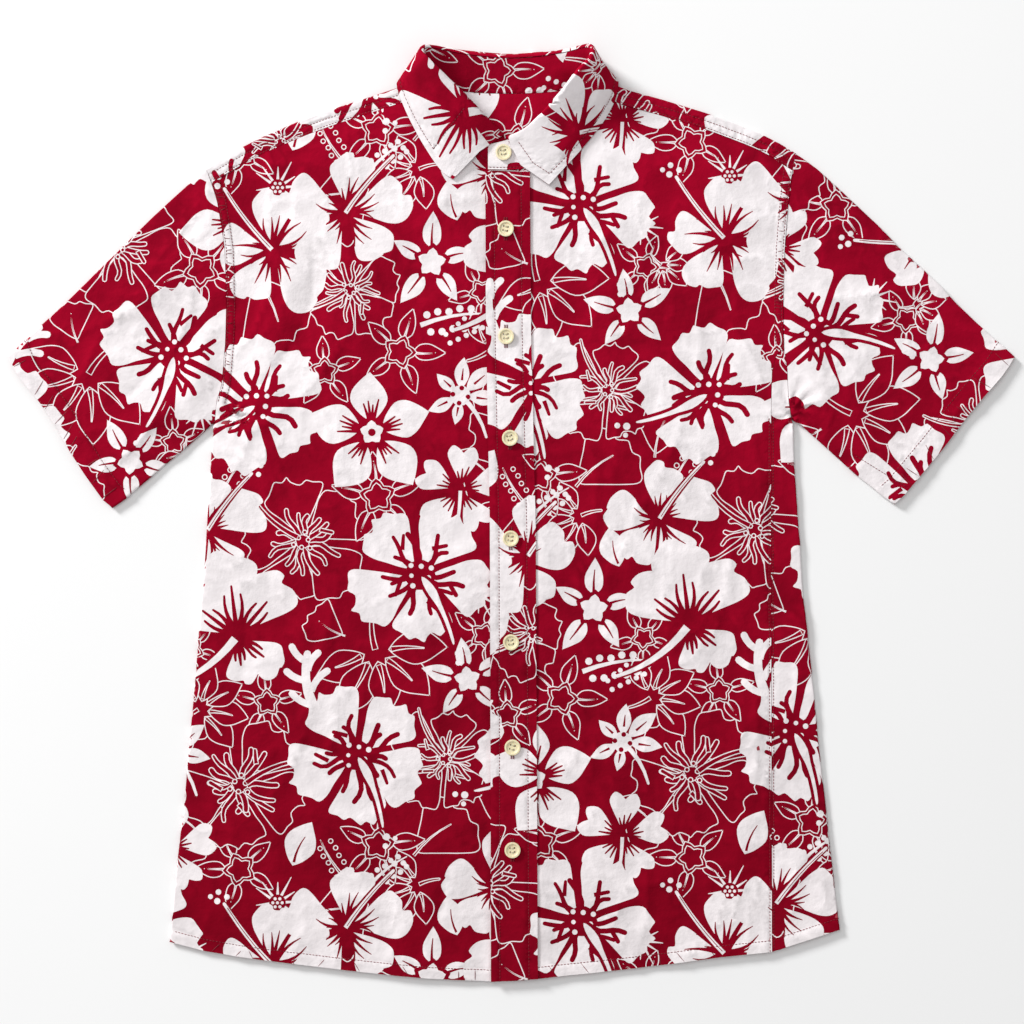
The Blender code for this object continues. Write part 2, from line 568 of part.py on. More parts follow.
def leaf_sections():
    """The leaf's path at each section: over the top of the stand, to the knee, to the edge."""
    foot, top = collar_points("foot"), collar_points("top")
    knee, edge = collar_points("knee"), collar_points("edge")
    lies_under = edge[:, 2:3] < 1.0
    on_front = (edge[:, 2] > 4.0) & (edge[:, 1] < 368.0)
    rest = over_left_front(edge[:, 0], edge[:, 1]) + SEAM + TWO_PLY / 2 + 0.2
    edge[:, 2] = np.where(on_front, np.maximum(edge[:, 2], rest), edge[:, 2])
    rise = unit(top - foot)
    out = unit(np.cross(rise, unit(np.gradient(top, axis=0))))
    radius = 1.9
    start = top + rise * 0.5
    path = [start]
    for turn in np.radians([20.0, 55.0, 90.0, 125.0, 160.0]):
        path.append(start + rise * radius * math.sin(turn) + out * radius * (1 - math.cos(turn)))
    last = path[-1]
    for t in (0.3, 0.62, 0.86):
        path.append(last * (1 - t) + knee * t)
    path.append(knee)
    inward = edge - knee
    inward[:, 2] = 0.0
    low = knee + unit(inward) * 1.2
    low[:, 2] = TWO_PLY / 2
    path.append(np.where(lies_under, low, knee * 0.7 + edge * 0.3))
    path.append(np.where(lies_under, low * 0.5 + edge * 0.5, knee * 0.35 + edge * 0.65))
    path.append(edge)
    return np.stack(path, axis=1)


def build_collar():
    skin, lining = wall_of(leaf_sections(), TWO_PLY)
    for face in (skin, lining):
        face[..., 2] = np.maximum(face[..., 2], 0.0)
    cloth("collar", (skin, lining))


# ---------------------------------------------------------------- band and buttons
def build_band():
    rows = LOW_ROWS + 8
    front = run(BAND_EDGE_FRONT, rows)
    sewn = run(BAND_EDGE_SEWN, rows)
    front[0, 1], sewn[0, 1] = hem_y(front[0, 0]), hem_y(sewn[0, 0])
    cloth("placket", layer(strip(front, sewn, 4), band_skin, PLY))


def button_mesh(name):
    """A four-hole button: a raised rim round a floor, with the holes right through."""
    radius, height, floor = BUTTON_RADIUS, 2.2, 1.3
    hole_radius, hole_place = 0.85, 1.7
    profile = [  # (radius, height) from the underside round the rim to the floor
        (radius - 0.6, 0.0), (radius, 0.5), (radius, height - 0.6), (radius - 0.7, height),
        (radius - 1.5, height), (radius - 2.4, floor),
    ]
    bm = bmesh.new()

    def ring(centre, r, z, sides):
        turns = [2 * math.pi * k / sides for k in range(sides)]
        return [bm.verts.new(((centre[0] + r * math.cos(a)) * MM,
                              (centre[1] + r * math.sin(a)) * MM, z * MM)) for a in turns]

    def band(lower, upper):
        for k in range(len(lower)):
            n = (k + 1) % len(lower)
            bm.faces.new((lower[k], lower[n], upper[n], upper[k]))

    rings = [ring((0, 0), r, z, 18) for r, z in profile]
    for lower, upper in zip(rings, rings[1:]):
        band(lower, upper)
    ends = {0.0: [rings[0]], floor: [rings[-1]]}
    for sx in (-1, 1):
        for sy in (-1, 1):
            place_at = (sx * hole_place, sy * hole_place)
            pair = [ring(place_at, hole_radius, z, 6) for z in (0.0, floor)]
            band(*pair)
            ends[0.0].append(pair[0])
            ends[floor].append(pair[1])
    for loops in ends.values():
        edges = []
        for loop in loops:
            for k, vert in enumerate(loop):
                edges.append(bm.edges.get((vert, loop[(k + 1) % len(loop)])))
        bmesh.ops.triangle_fill(bm, edges=edges, use_beauty=True)
    bmesh.ops.recalc_face_normals(bm, faces=bm.faces)
    mesh = bpy.data.meshes.new(name)
    bm.to_mesh(mesh)
    bm.free()
    return mesh


def build_buttons():
    for number, (x, y) in enumerate(BUTTONS):
        if number == 0:
            seat = BUTTON_TAB[2] + TWO_PLY / 2 + STAND_CURVE
        else:
            around = np.linspace(0.0, 2 * math.pi, 16)
            rim_x, rim_y = x + BUTTON_RADIUS * np.cos(around), y + BUTTON_RADIUS * np.sin(around)
            seat = float(np.max(band_skin(rim_x, rim_y)))
        name = f"button_{number}"
        piece = place(name, button_mesh(name), material(f"{name}_ivory", IVORY, 0.35))
        piece.location = (np.array([x, y, seat + SEAM]) - CENTRE) * MM


def main():
    for thing in list(bpy.data.objects):
        bpy.data.objects.remove(thing, do_unlink=True)
    build_back()
    build_yoke()
    build_front_right()
    build_front_left()
    build_band()
    build_sleeve("sleeve_right", ARMHOLE_RIGHT, SLEEVE_RIGHT_TOP, SLEEVE_RIGHT_UNDER, CUFF_RIGHT,
                 1, UNDERARM_RIGHT, SHOULDER_MITRE_RIGHT)
    build_sleeve("sleeve_left", ARMHOLE_LEFT, SLEEVE_LEFT_TOP, SLEEVE_LEFT_UNDER, CUFF_LEFT,
                 -1, UNDERARM_LEFT, SHOULDER_MITRE_LEFT)
    build_stand()
    build_collar()
    build_buttons()


main()
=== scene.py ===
"""A man's short-sleeved shirt in printed cotton, buttoned up and laid flat on its back.

Each piece of cloth starts as a fine grid on the form of its solid. The print's outlines are cut
into the piece's flat pattern, every point is set back on the form, and the cloth is then creased,
raised at its seams and given its thickness and its thread. X runs towards the wearer's left, Y
towards the collar and Z up. Tables and sizes are in millimetres.
"""

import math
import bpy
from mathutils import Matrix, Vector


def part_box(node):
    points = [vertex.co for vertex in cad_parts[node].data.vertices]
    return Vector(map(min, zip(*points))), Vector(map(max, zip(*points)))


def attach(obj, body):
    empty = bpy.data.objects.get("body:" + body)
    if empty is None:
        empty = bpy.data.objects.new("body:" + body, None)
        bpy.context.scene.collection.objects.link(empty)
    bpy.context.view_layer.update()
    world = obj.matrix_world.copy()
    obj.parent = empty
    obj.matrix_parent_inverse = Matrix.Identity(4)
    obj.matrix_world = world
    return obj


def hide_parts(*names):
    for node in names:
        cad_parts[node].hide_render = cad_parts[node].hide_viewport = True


bl_info = {
    "name": "Printed Cotton Shirt",
    "version": (1, 0, 0),
    "blender": (4, 5, 0),
    "location": "View3D > Sidebar > Shirt",
    "description": "Cuts, prints, creases and sews a short-sleeved shirt that lies flat",
    "category": "Add Mesh",
}

import bmesh
import bpy
import numpy as np
from bpy.props import FloatProperty, FloatVectorProperty, PointerProperty
from mathutils import Vector
from mathutils.bvhtree import BVHTree
from mathutils.geometry import delaunay_2d_cdt
from mathutils.kdtree import KDTree

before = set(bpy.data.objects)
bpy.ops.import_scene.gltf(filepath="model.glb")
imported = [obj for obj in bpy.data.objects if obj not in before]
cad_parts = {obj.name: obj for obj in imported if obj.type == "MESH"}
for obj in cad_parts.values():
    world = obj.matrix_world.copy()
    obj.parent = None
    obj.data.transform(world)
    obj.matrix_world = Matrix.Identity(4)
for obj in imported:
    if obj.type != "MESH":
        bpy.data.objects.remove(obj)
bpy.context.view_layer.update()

MM = 0.001
CENTRE = np.array([0.42, -0.49, 0.0])  # the origin, as a place in the tables

# ---------------------------------------------------------------- sizes
SEAM = 0.3  # gap between pieces that are sewn together
LIE = 3.6  # height of the upper layer's skin where the shirt lies flat
HALF = LIE / 2  # radius of a roll
LEAF_ROOM = 1.8  # lift of the neck and shoulders over the leaf that lies under them
BAND_RISE = 0.95  # lift of the left front over the right front, along the button band
BAND_DIP = 0.6  # how much lower the right front lies there
BAND_OVER = 1.4  # how far the band's skin stands over the left front's
YOKE_SEAM_Y = 270.6
UNDERLAP_X = 12.0  # edge of the right front, under the button band
FRONT_NECK_Y = 299.0
FORWARD = 12.0  # how far in front of the shoulder line the shoulder seam runs
HEM_DEPTH = 10.4
CUFF_DEPTH = 20.0
ARMHOLE_BAND = 7.6
STITCH_LINE = 0.9  # half the width of the finely cut strip that a seam's puckers need
UNTOUCHED = 0.0003  # how far off the pattern a place may be and still count as on it
SLIVER = 0.06  # height under which a triangle at a border is a sliver
ROLLED_X, MIRROR_X = 288.0, 280.0  # past the first, the back's creases are turned at the second
ROUND_ROLL = math.pi * HALF  # length of cloth that a roll takes up
HOLE_PLACE = 1.75  # of a button's four holes, from its middle
HOLE_RADIUS = 0.85
SENSOR = 36.0
CAMERA_HEIGHT = 2000.0
PICTURE_WIDTH = 890.88  # what the camera sees of the upper layer

# ---------------------------------------------------------------- outline tables, from above
# side rolls, (x, y) from the hem to the underarm: the outermost line of the body
BODY_RIGHT_SIDE = [  # the wearer's right, at -X
    (-297.5, -372.4), (-294.1, -335.8), (-289.7, -292.3), (-284.5, -248.8), (-281, -205.3),
    (-276.7, -161.8), (-273.2, -118.3), (-269.7, -74.8), (-266.2, -31.3), (-263.6, 12.2),
    (-261, 55.7), (-259.8, 78),
]
BODY_LEFT_SIDE = [  # the wearer's left, at +X
    (286.2, -361.9), (283.6, -335.8), (278.4, -292.3), (274.1, -248.8), (268.8, -205.3),
    (264.5, -161.8), (260.1, -118.3), (254.9, -74.8), (252.3, -31.3), (248.8, 12.2),
    (246.4, 55.7), (246, 80),
]
HEM = [  # (x, y) from the wearer's right to the left
    (-297.5, -372.4), (-274.9, -378.4), (-253.2, -382.8), (-209.7, -388.9), (-166.2, -394.1),
    (-122.7, -399.3), (-79.2, -403.7), (-35.7, -405.8), (-15.7, -406.7), (7.8, -405.8),
    (51.3, -401.1), (94.8, -396.7), (138.3, -391.5), (181.8, -385.4), (225.3, -381.1),
    (255.8, -375.8), (286.2, -361.9),
]
ARMHOLE_RIGHT = [  # (x, y) from the underarm to the shoulder; every row is a corner of the cloth
    (-257.5, 82), (-255.8, 98.3), (-251.8, 111.4), (-250.1, 127.9), (-248.5, 147),
    (-247.9, 163), (-247.6, 181), (-247.9, 205), (-248.8, 229.7), (-251.6, 250),
    (-255.3, 270.6), (-257, 277), (-258.9, 283), (-260.6, 288.5), (-262, 292),
    (-263.3, 295.5), (-264.6, 299),
]
ARMHOLE_LEFT = [
    (243.6, 84.4), (241.4, 99.2), (240.6, 113.1), (240.2, 126.2), (237.6, 141.8),
    (236.7, 160), (236.6, 180.1), (237.1, 205), (237.9, 229.7), (239.4, 250),
    (241.2, 270.6), (242.2, 280), (243.3, 290), (244.8, 299), (245.5, 303.5),
    (246.4, 308), (247.3, 312.6),
]
PANEL_TOP, SEAM_ROW = 10, 13  # rows of the armholes where the yoke seam and the shoulder seams end
SEAM_MEETS = 4  # row of the left armhole where the side seam ends
SHOULDER_RIGHT = [  # (x, y) from the armhole to the neck: the shoulder's outermost line
    (-266.2, 301), (-253.2, 308.9), (-240.1, 316.7), (-214, 329.7), (-187.9, 341),
    (-161.8, 350.6), (-135.7, 359.3), (-109.6, 367.6), (-96.6, 371.2), (-71, 381.3),
]
SHOULDER_LEFT = [
    (248.8, 314.9), (234, 322.8), (221, 329.7), (194.9, 340.2), (168.8, 349.7),
    (142.7, 357.6), (116.6, 365.2), (97, 370), (71, 382.2),
]
SLEEVE_RIGHT_TOP = [  # (x, y) from the armhole to the cuff
    (-266.2, 301), (-296.7, 273.2), (-320.2, 251.4), (-341.9, 229.7), (-363.7, 207.9),
    (-385.4, 186.2), (-409.8, 164.4), (-430.6, 144.6), (-437.6, 138.3),
]
SLEEVE_RIGHT_UNDER = [
    (-259.3, 78), (-284.5, 55.7), (-310.6, 33.9), (-336.7, 12.2), (-347.1, 5.2),
]
CUFF_RIGHT = [  # (x, y) from the underarm to the top
    (-347.1, 5.2), (-355, 12.2), (-370.6, 33.9), (-384.5, 55.7), (-396.7, 77.4),
    (-411.5, 99.2), (-429.8, 120.9), (-437.6, 138.3),
]
SLEEVE_LEFT_TOP = [
    (248.8, 314.9), (274.1, 294.9), (296.7, 273.2), (320.2, 251.4), (341, 229.7),
    (365.4, 207.9), (385.4, 186.2), (408, 164.4), (431.5, 143.6), (438.5, 136.6),
]
SLEEVE_LEFT_UNDER = [
    (246.2, 81.8), (252.3, 77.4), (275.8, 55.7), (300.1, 33.9), (328, 12.2), (334.1, 8.7),
]
CUFF_LEFT = [
    (334.1, 8.7), (338.4, 12.2), (356.7, 33.9), (375, 55.7), (391.5, 77.4), (408.9, 99.2),
    (428, 120.9), (438.5, 136.6),
]
SIDE_SEAM_LEFT = [  # (x, y) where the back, rolled forward, meets the left front
    (227.1, -381), (226.6, -161.8), (226.2, -40), (226.3, 84.4),
]
SIDE_SEAM_LEFT_TOP = [
    (226.3, 84.4), (226.5, 104), (227.1, 123.5), (230.6, 137.5), (234, 142),
]
BAND_EDGE_FRONT = [(-17.4, -406.3), (-18.3, -13.1), (-21.8, 160.1), (-22.4, 297.4)]
BAND_EDGE_SEWN = [(23.5, -404.2), (23.3, -388), (21.5, -13.1), (17.4, 160.1), (16.5, 297.4)]
BUTTONS = [  # (x, y) down the front; the first is on the stand
    (-6.5, 314.1), (-4.6, 247.9), (-4.3, 154.4), (-0.9, 66.1), (-0.3, -21.3), (0, -111.4),
    (1.3, -202.7), (1.3, -291.9),
]

# soft folds of the cloth: centre, run of the fold in degrees, half its length and width, rise
FOLDS = [  # (x, y, angle, length, width, rise)
    (-270, 132, 80, 42, 12, 3.2),
    (-300, 92, 38, 48, 11, 1.8),
    (-312, 190, 44, 70, 20, 1.5),
    (-345, 110, 52, 55, 14, 1.2),
    (262, 128, -62, 34, 12, 3.4),
    (285, 90, -38, 50, 11, 1.8),
    (312, 205, -42, 72, 20, 1.6),
    (352, 118, -55, 52, 13, 1.1),
    (-205, 150, 76, 95, 17, 2),
    (-165, -60, 84, 130, 22, 1.5),
    (-120, 215, 60, 80, 20, 1.4),
    (-90, -230, 95, 120, 24, 1.4),
    (-215, -250, 100, 110, 20, 1.7),
    (95, 120, 96, 110, 22, 1.5),
    (180, 205, 108, 80, 18, 1.9),
    (150, -70, 82, 120, 20, 1.6),
    (90, -250, 88, 110, 22, 1.3),
    (205, -250, 78, 100, 18, 1.8),
]

# the collar, round the neck from the right front to the left. For each section: the foot of
# the stand, its top, the knee where the leaf turns, the leaf's edge. Walls are centred on these
COLLAR_COLUMNS = "foot_x foot_y foot_z top_x top_y top_z knee_x knee_y knee_z edge_x edge_y edge_z"
COLLAR = [
    (-10, 299.4, 2.7, -9, 328.6, 3.2, -27.5, 314.5, 8, -50.5, 291, 5.2),
    (-35, 317, 4.2, -25.5, 345.5, 14, -46, 321, 10.5, -61.8, 300, 5),
    (-53, 337, 4.6, -43, 363, 21, -62.5, 340, 15, -76.5, 322, 5.2),
    (-64, 358, 5, -60, 380, 26.5, -78, 360.5, 18, -88.5, 344, 6.4),
    (-66.8, 368, 5.2, -70.5, 390.5, 29, -88, 375, 18.5, -97.8, 366, 6.8),
    (-67.3, 372, 5, -73, 393.5, 29, -91, 379.5, 17.5, -98.9, 371.8, 6.5),
    (-67.5, 375, 4.8, -74.5, 396, 28.5, -92, 382.5, 15.5, -99.2, 375, 3.8),
    (-67.4, 377, 4.6, -75, 397.5, 28, -96.9, 378.6, 3.2, -97.8, 375, 0.75),
    (-67, 378.8, 4.4, -75, 398.8, 27.5, -94, 382.5, 3.2, -92, 365, 0.75),
    (-66.2, 378.4, 4, -74, 400.2, 26, -88.6, 390.2, 3.2, -82, 359.5, 0.75),
    (-63.8, 376.2, 3.6, -71.5, 401.6, 23, -80.4, 400.4, 3.2, -69, 357, 0.75),
    (-58.5, 372.4, 3.2, -64, 401.6, 18, -67, 404.9, 3.2, -55, 356, 0.75),
    (-47.5, 368.6, 2.9, -49.5, 399.6, 12.5, -50, 403.6, 3.2, -41, 355.5, 0.75),
    (-26, 366.7, 2.8, -26.5, 396.8, 10, -26.5, 401, 3.2, -22, 355.5, 0.75),
    (0, 366, 2.8, 0.5, 395.2, 9.4, 1, 399.5, 3.2, 0, 355.5, 0.75),
    (26, 366.9, 2.8, 27, 397, 10, 27.5, 401.4, 3.2, 22, 355.5, 0.75),
    (46.5, 369, 2.9, 47.5, 399.8, 12.5, 48.5, 403.6, 3.2, 41, 355.5, 0.75),
    (57.5, 372.8, 3.2, 59, 401.8, 18, 60, 405, 3.2, 54, 356, 0.75),
    (63.2, 377, 3.6, 65, 401.8, 23, 72.6, 400.6, 3.2, 66, 357.5, 0.75),
    (66.2, 379.2, 4, 67.5, 400.2, 26, 79.6, 389.8, 3.2, 76, 360.5, 0.75),
    (67, 379.6, 4.4, 68.6, 398.4, 27.5, 86, 382.6, 3.2, 85, 366.5, 0.75),
    (67.4, 377.8, 4.6, 68.6, 397, 28, 91, 378.6, 3.2, 91.6, 375.4, 0.75),
    (67.4, 375.6, 4.8, 68.2, 395.2, 28.5, 86, 382, 15.5, 93, 375.4, 3.8),
    (67.3, 372.4, 5, 67.2, 392.6, 29, 84.5, 379, 17.5, 92.8, 372, 6.5),
    (66.6, 368, 5.2, 65.4, 389.4, 29, 82, 374.5, 18.5, 91.8, 366.2, 6.8),
    (64.2, 360, 5, 58.5, 382.6, 27, 77.5, 364.5, 18, 88.6, 355.8, 6.4),
    (54, 340, 4.8, 44, 364, 22, 67, 346.5, 14.5, 79, 339, 5.4),
    (38, 319.5, 4.8, 28, 345.5, 15, 51.5, 325, 11, 64, 320.5, 5.4),
    (18.5, 304.5, 5, 12.5, 332, 9, 34, 309, 9, 47.5, 302, 6.4),
    (5.5, 299.8, 5.3, -2.5, 325.5, 5.5, 8.5, 303, 7.9, 33, 286, 7.2),
]
LEAF_BEND = 1.9  # radius of the leaf's bend over the top of the stand
LEAF_CLEAR = 1.25  # height of the leaf's middle over the front that it lies on
LEAF_LOW = 0.75  # its height where it lies under the neck
UNDER_TAB = (9.6, 299.4, 2.5, 9.6, 325, 3.2)  # the stand's right end, under the other
BUTTON_TAB = (-20, 299.6, 5.3, -20, 321, 5.3)  # its left end, on top

# creases pressed into the cloth: sharper than the folds. A negative rise is a trough
UNDERARM_SEAM_LEFT = [(300, 50.4), (323, 36.2), (343.7, 23.5)]
CREASES = [  # (x, y, angle, length, width, rise)
    (-222, 168, 62, 34, 4.5, 0.9), (-214, 120, 48, 46, 5.5, -0.8),
    (-196, 96, 38, 52, 6, 0.9), (-232, 62, 70, 38, 5, 0.7),
    (-176, 190, 80, 40, 5, -0.6), (-150, 150, 57, 44, 6.5, 0.7),
    (-118, 205, 103, 30, 4.5, 0.6), (-92, 118, 76, 50, 6, -0.6),
    (-205, -20, 100, 60, 6, 0.8), (-160, -95, 74, 44, 5, 0.7),
    (-236, -130, 83, 55, 6, -0.7), (-112, -40, 116, 38, 5, 0.6),
    (-70, -150, 97, 62, 6.5, 0.7), (-190, -210, 66, 48, 5.5, 0.7),
    (-138, -285, 101, 42, 6, 0.8), (-245, -300, 87, 50, 6, 0.7),
    (-60, -330, 80, 36, 5, -0.6), (-96, 20, 28, 34, 5, 0.5),
    (205, 140, 118, 42, 5, 0.9), (192, 86, 134, 48, 6, -0.8),
    (214, 30, 96, 54, 5.5, 0.8), (160, 172, 98, 46, 5.5, 0.7),
    (116, 232, 72, 30, 5, 0.6), (88, 176, 110, 44, 6, -0.6),
    (132, 44, 66, 52, 6, 0.7), (72, 24, 92, 40, 5, 0.6),
    (184, -62, 81, 58, 6, 0.8), (104, -128, 104, 46, 5.5, -0.7),
    (212, -182, 94, 50, 6, 0.8), (70, -214, 77, 40, 5, 0.6),
    (156, -262, 112, 44, 6, 0.7), (116, -338, 88, 36, 5.5, 0.7),
    (250, -120, 84, 60, 5.5, 0.6), (256, -290, 92, 52, 6, -0.6),
    (-292, 150, 66, 40, 5.5, 0.9), (-318, 120, 40, 52, 6, -0.7),
    (-340, 176, 28, 46, 6, 0.7), (-300, 232, 52, 40, 5.5, 0.7),
    (-372, 128, 60, 38, 5, 0.6), (-330, 60, 44, 34, 5, 0.7),
    (-384, 92, 118, 26, 5, -0.5), (290, 148, -66, 42, 5.5, 0.9),
    (318, 112, -34, 50, 6, -0.7), (334, 178, -28, 48, 6, 0.7),
    (296, 238, -50, 42, 5.5, 0.7), (372, 130, -62, 36, 5, 0.6),
    (328, 56, -46, 34, 5, 0.7), (402, 128, -24, 28, 5, -0.5),
    (-70, 262, 48, 26, 5, 0.6), (60, 268, 126, 26, 5, 0.6),
    (0, 210, 12, 22, 5, 0.3), (2, -60, -9, 20, 4.5, 0.3),
    (4, -248, 8, 22, 5, 0.3), (-3, 118, -14, 20, 4.5, -0.3),
]
GATHERS = [(247, 90, 21), (-239, 84, 13)]  # (x, y, reach) at the underarms

# the print: flowers and leaves of one repeat. The repeat is a half drop, so that each motif
# comes again at every whole step of the two vectors
REPEAT = ((252.3, -310.6), (0, 622))
PRINT_UNDER = [  # drawn before the others
    ("outline_star", -236, -309, 36, 40), ("outline_fan", -80, -322, 36, 200),
    ("outline_star", -276, 205, 30, 70), ("outline_star", -212, -164, 30, 20),
    ("outline_berries", -154, -300, 20, 120), ("outline_star", -278, -118, 28, 50),
    ("outline_leaf", -160, -97, 26, 150), ("outline_fan", -10, -104, 26, -40),
]
PRINT = [  # (motif, x, y, size, angle); drawn in this order, the last on top
    ("outline_leaf", -209, 180, 47, -62), ("outline_leaf", -62, -278, 42, 40),
    ("outline_leaf", -28, 40, 40, -35), ("outline_leaf", -150, -345, 36, 10),
    ("outline_leaf", -262, 62, 34, 75),
    ("outline_fan", -118, -118, 56, -78), ("outline_hibiscus", -140, 195, 46, 200),
    ("outline_hibiscus", -181, -24, 56, 138), ("outline_hibiscus", -236, -236, 60, 20),
    ("outline_hibiscus", -57, -213, 45, 118), ("outline_fan", -272, -170, 40, 30),
    ("outline_star", -162, 124, 31, 90), ("outline_star", -97, 141, 36, 70),
    ("outline_star", -116, 15, 39, 96), ("outline_star", -116, -288, 37, 84),
    ("outline_berries", -246, 22, 22, 60), ("berries", -52, 168, 27, 8),
    ("berries", -106, 311, 20, 35), ("sunburst", -203, 284, 24, 0),
    ("sunburst", -28, -70, 22, 30), ("leaf", -184, -292, 40, 66),
    ("leaf", -50, 268, 34, 104), ("coral", -172, -150, 36, 100),
    ("small_hibiscus", -44, 21, 39, -96), ("star", -38, -144, 36, 96),
    ("star", -69, 219, 39, 84), ("bells", -44, 103, 37, 60),
    ("long_hibiscus", -264, -14, 52, 52), ("long_hibiscus", -208, 230, 56, 128),
    ("long_hibiscus", -144, 262, 54, 50), ("lily", -238, -107, 64, 215),
    ("plumeria", -121, 71, 52, 92), ("open_hibiscus", -134, -210, 63, -58),
    ("open_hibiscus", -221, 95, 64.5, 214), ("open_hibiscus", -79, -53, 63.5, -52),
]
PRINT_OVER = {  # how each piece was laid on the print: (move x, move y, turn)
    "front_right": (0, 0, 0),
    "front_left": (393.2, 10.1, 0),
    "placket": (411, 13, 0),
    "back": (387.2, 16, -2),
    "yoke": (132.5, 140.2, 174),
    "sleeve_right": (-200.4, 117.5, -46.5),
    "sleeve_left": (275.2, 252.9, 52),
    "collar_stand": (183.2, -150.4, 180),
    "collar": (76.3, 121, 0),
}


# ---------------------------------------------------------------- lines and heights
def step(t):
    """Smooth step from 0 at t = 0 to 1 at t = 1."""
    t = np.clip(t, 0.0, 1.0)
    return t * t * (3.0 - 2.0 * t)


def between(line, places, at):
    """Points of a line whose own points stand at the given places."""
    return np.stack([np.interp(at, places, line[:, k]) for k in range(line.shape[1])], axis=1)


def run(points, count):
    """count points evenly spaced along a line through the given points, as an array."""
    line = np.array(points, float)
    along = np.r_[0.0, np.cumsum(np.linalg.norm(np.diff(line, axis=0), axis=1))]
    return between(line, along, np.linspace(0.0, along[-1], count))


def finer(line, parts):
    """The line with each of its stretches cut into equal parts."""
    line = np.array(line, float)
    at = np.linspace(0.0, len(line) - 1.0, (len(line) - 1) * parts + 1)
    return between(line, np.arange(len(line)), at)


def smooth(a, b, c, d, t):
    """A smooth curve from b to c, where a comes before them and d after."""
    return b + ((c - a) * t + (2 * a - 5 * b + 4 * c - d) * t**2 + (3 * (b - c) + d - a) * t**3) / 2


def rounded(line, parts):
    """The line as a smooth curve through its points, each stretch cut into equal parts."""
    line = np.array(line, float)
    padded = np.concatenate([[2 * line[0] - line[1]], line, [2 * line[-1] - line[-2]]])
    t = np.linspace(0.0, 1.0, parts, endpoint=False).reshape((-1,) + (1,) * line.ndim)
    curve = smooth(padded[:-3], padded[1:-2], padded[2:-1], padded[3:], t)
    curve = np.swapaxes(curve, 0, 1).reshape((-1,) + line.shape[1:])
    return np.concatenate([curve, line[-1:]])


def join(*lines):
    """One line from several that meet end to end."""
    return np.concatenate([lines[0]] + [line[1:] for line in lines[1:]])


def shift(points, distance):
    """The line moved sideways in plan, to the left of its direction of travel."""
    line = np.array(points, float)
    along = np.gradient(line[:, :2], axis=0)
    along /= np.linalg.norm(along, axis=1, keepdims=True)
    moved = line.copy()
    moved[:, 0] -= distance * along[:, 1]
    moved[:, 1] += distance * along[:, 0]
    return moved


def cut_y(points, low, high):
    """The stretch of an upward line between two heights in Y."""
    line = np.array(points, float)
    inside = line[(line[:, 1] > low) & (line[:, 1] < high)]
    ends = [[np.interp(y, line[:, 1], line[:, 0]), y] for y in (low, high)]
    return np.concatenate([[ends[0]], inside, [ends[1]]])


def hem_y(x):
    """Y of the hem at some X."""
    table = np.array(HEM)
    return np.interp(x, table[:, 0], table[:, 1])


def unit(vectors):
    """The vectors at length 1."""
    return vectors / np.maximum(np.linalg.norm(vectors, axis=-1, keepdims=True), 1e-9)


def from_fold(x, y, middle_x, middle_y, angle):
    """Distances along and across a fold that runs through its middle at an angle."""
    c, s = math.cos(math.radians(angle)), math.sin(math.radians(angle))
    return (x - middle_x) * c + (y - middle_y) * s, (y - middle_y) * c - (x - middle_x) * s


def fold_rise(x, y):
    """Rise of the cloth's soft folds."""
    total = np.zeros(np.broadcast(x, y).shape)
    for middle_x, middle_y, angle, length, width, rise in FOLDS:
        along, across = from_fold(x, y, middle_x, middle_y, angle)
        total = total + rise * np.exp(-((along / length) ** 2)) * np.exp(-((across / width) ** 2))
    return total


def under(x, y):
    """Height of the lower layer's skin: zero, but for the neck, which lies on the leaf."""
    return LEAF_ROOM * step((116.0 - np.abs(x + 3.0)) / 18.0) * step((y - 322.0) / 20.0)


def over(x, y):
    """Height of the upper layer's skin."""
    return LIE + under(x, y) + fold_rise(x, y)


def over_right_front(x, y):
    return over(x, y) - BAND_DIP * step((x + 40.0) / 16.0)


def over_left_front(x, y):
    return over(x, y) + BAND_RISE * step((40.0 - np.abs(x)) / 16.0)


def band_skin(x, y):
    return over_left_front(x, y) + BAND_OVER


def noise(x, y, size, seed):
    """Smooth noise from 0 to 1, with cells of a given size."""
    u, v = x / size, y / size
    i, j = np.floor(u).astype(np.int64), np.floor(v).astype(np.int64)
    fu, fv = step(u - i), step(v - j)

    def corner(di, dj):
        n = ((i + di) * 374761393 + (j + dj) * 668265263 + seed * 1274126177) & 0x7FFFFFFF
        n = ((n ^ (n >> 13)) * 1103515245) & 0x7FFFFFFF
        return ((n ^ (n >> 16)) & 0xFFFF) / 65535.0

    low = corner(0, 0) * (1 - fu) + corner(1, 0) * fu
    high = corner(0, 1) * (1 - fu) + corner(1, 1) * fu
    return low * (1 - fv) + high * fv


def crumple(x, y, seed):
    """Rise of the cloth's fine crumples, from 0 in the hollows to about 1 on the creases."""
    sway_x = x + 16.0 * noise(x, y, 37.0, seed + 1)
    sway_y = y + 16.0 * noise(x, y, 41.0, seed + 2)
    total = 0.0
    for size, share in ((58.0, 0.46), (27.0, 0.34), (13.0, 0.2)):
        ridge = 1.0 - np.abs(2.0 * noise(sway_x, sway_y, size, seed + int(size)) - 1.0)
        total = total + share * ridge**2
    return total


def crease_rise(x, y):
    """Rise of the pressed creases and of the puckers at the underarms."""
    total = np.zeros(np.broadcast(x, y).shape)
    for middle_x, middle_y, angle, length, width, rise in CREASES:
        along, across = from_fold(x, y, middle_x, middle_y, angle)
        along = along / length
        bow = 0.12 * length * (along**2 - 0.5)
        across = np.abs(across - bow) / width
        total = total + rise * np.exp(-(along**4)) * np.exp(-across * (1.0 + across) / 1.6)
    return total + gathered(x, y) * 0.8


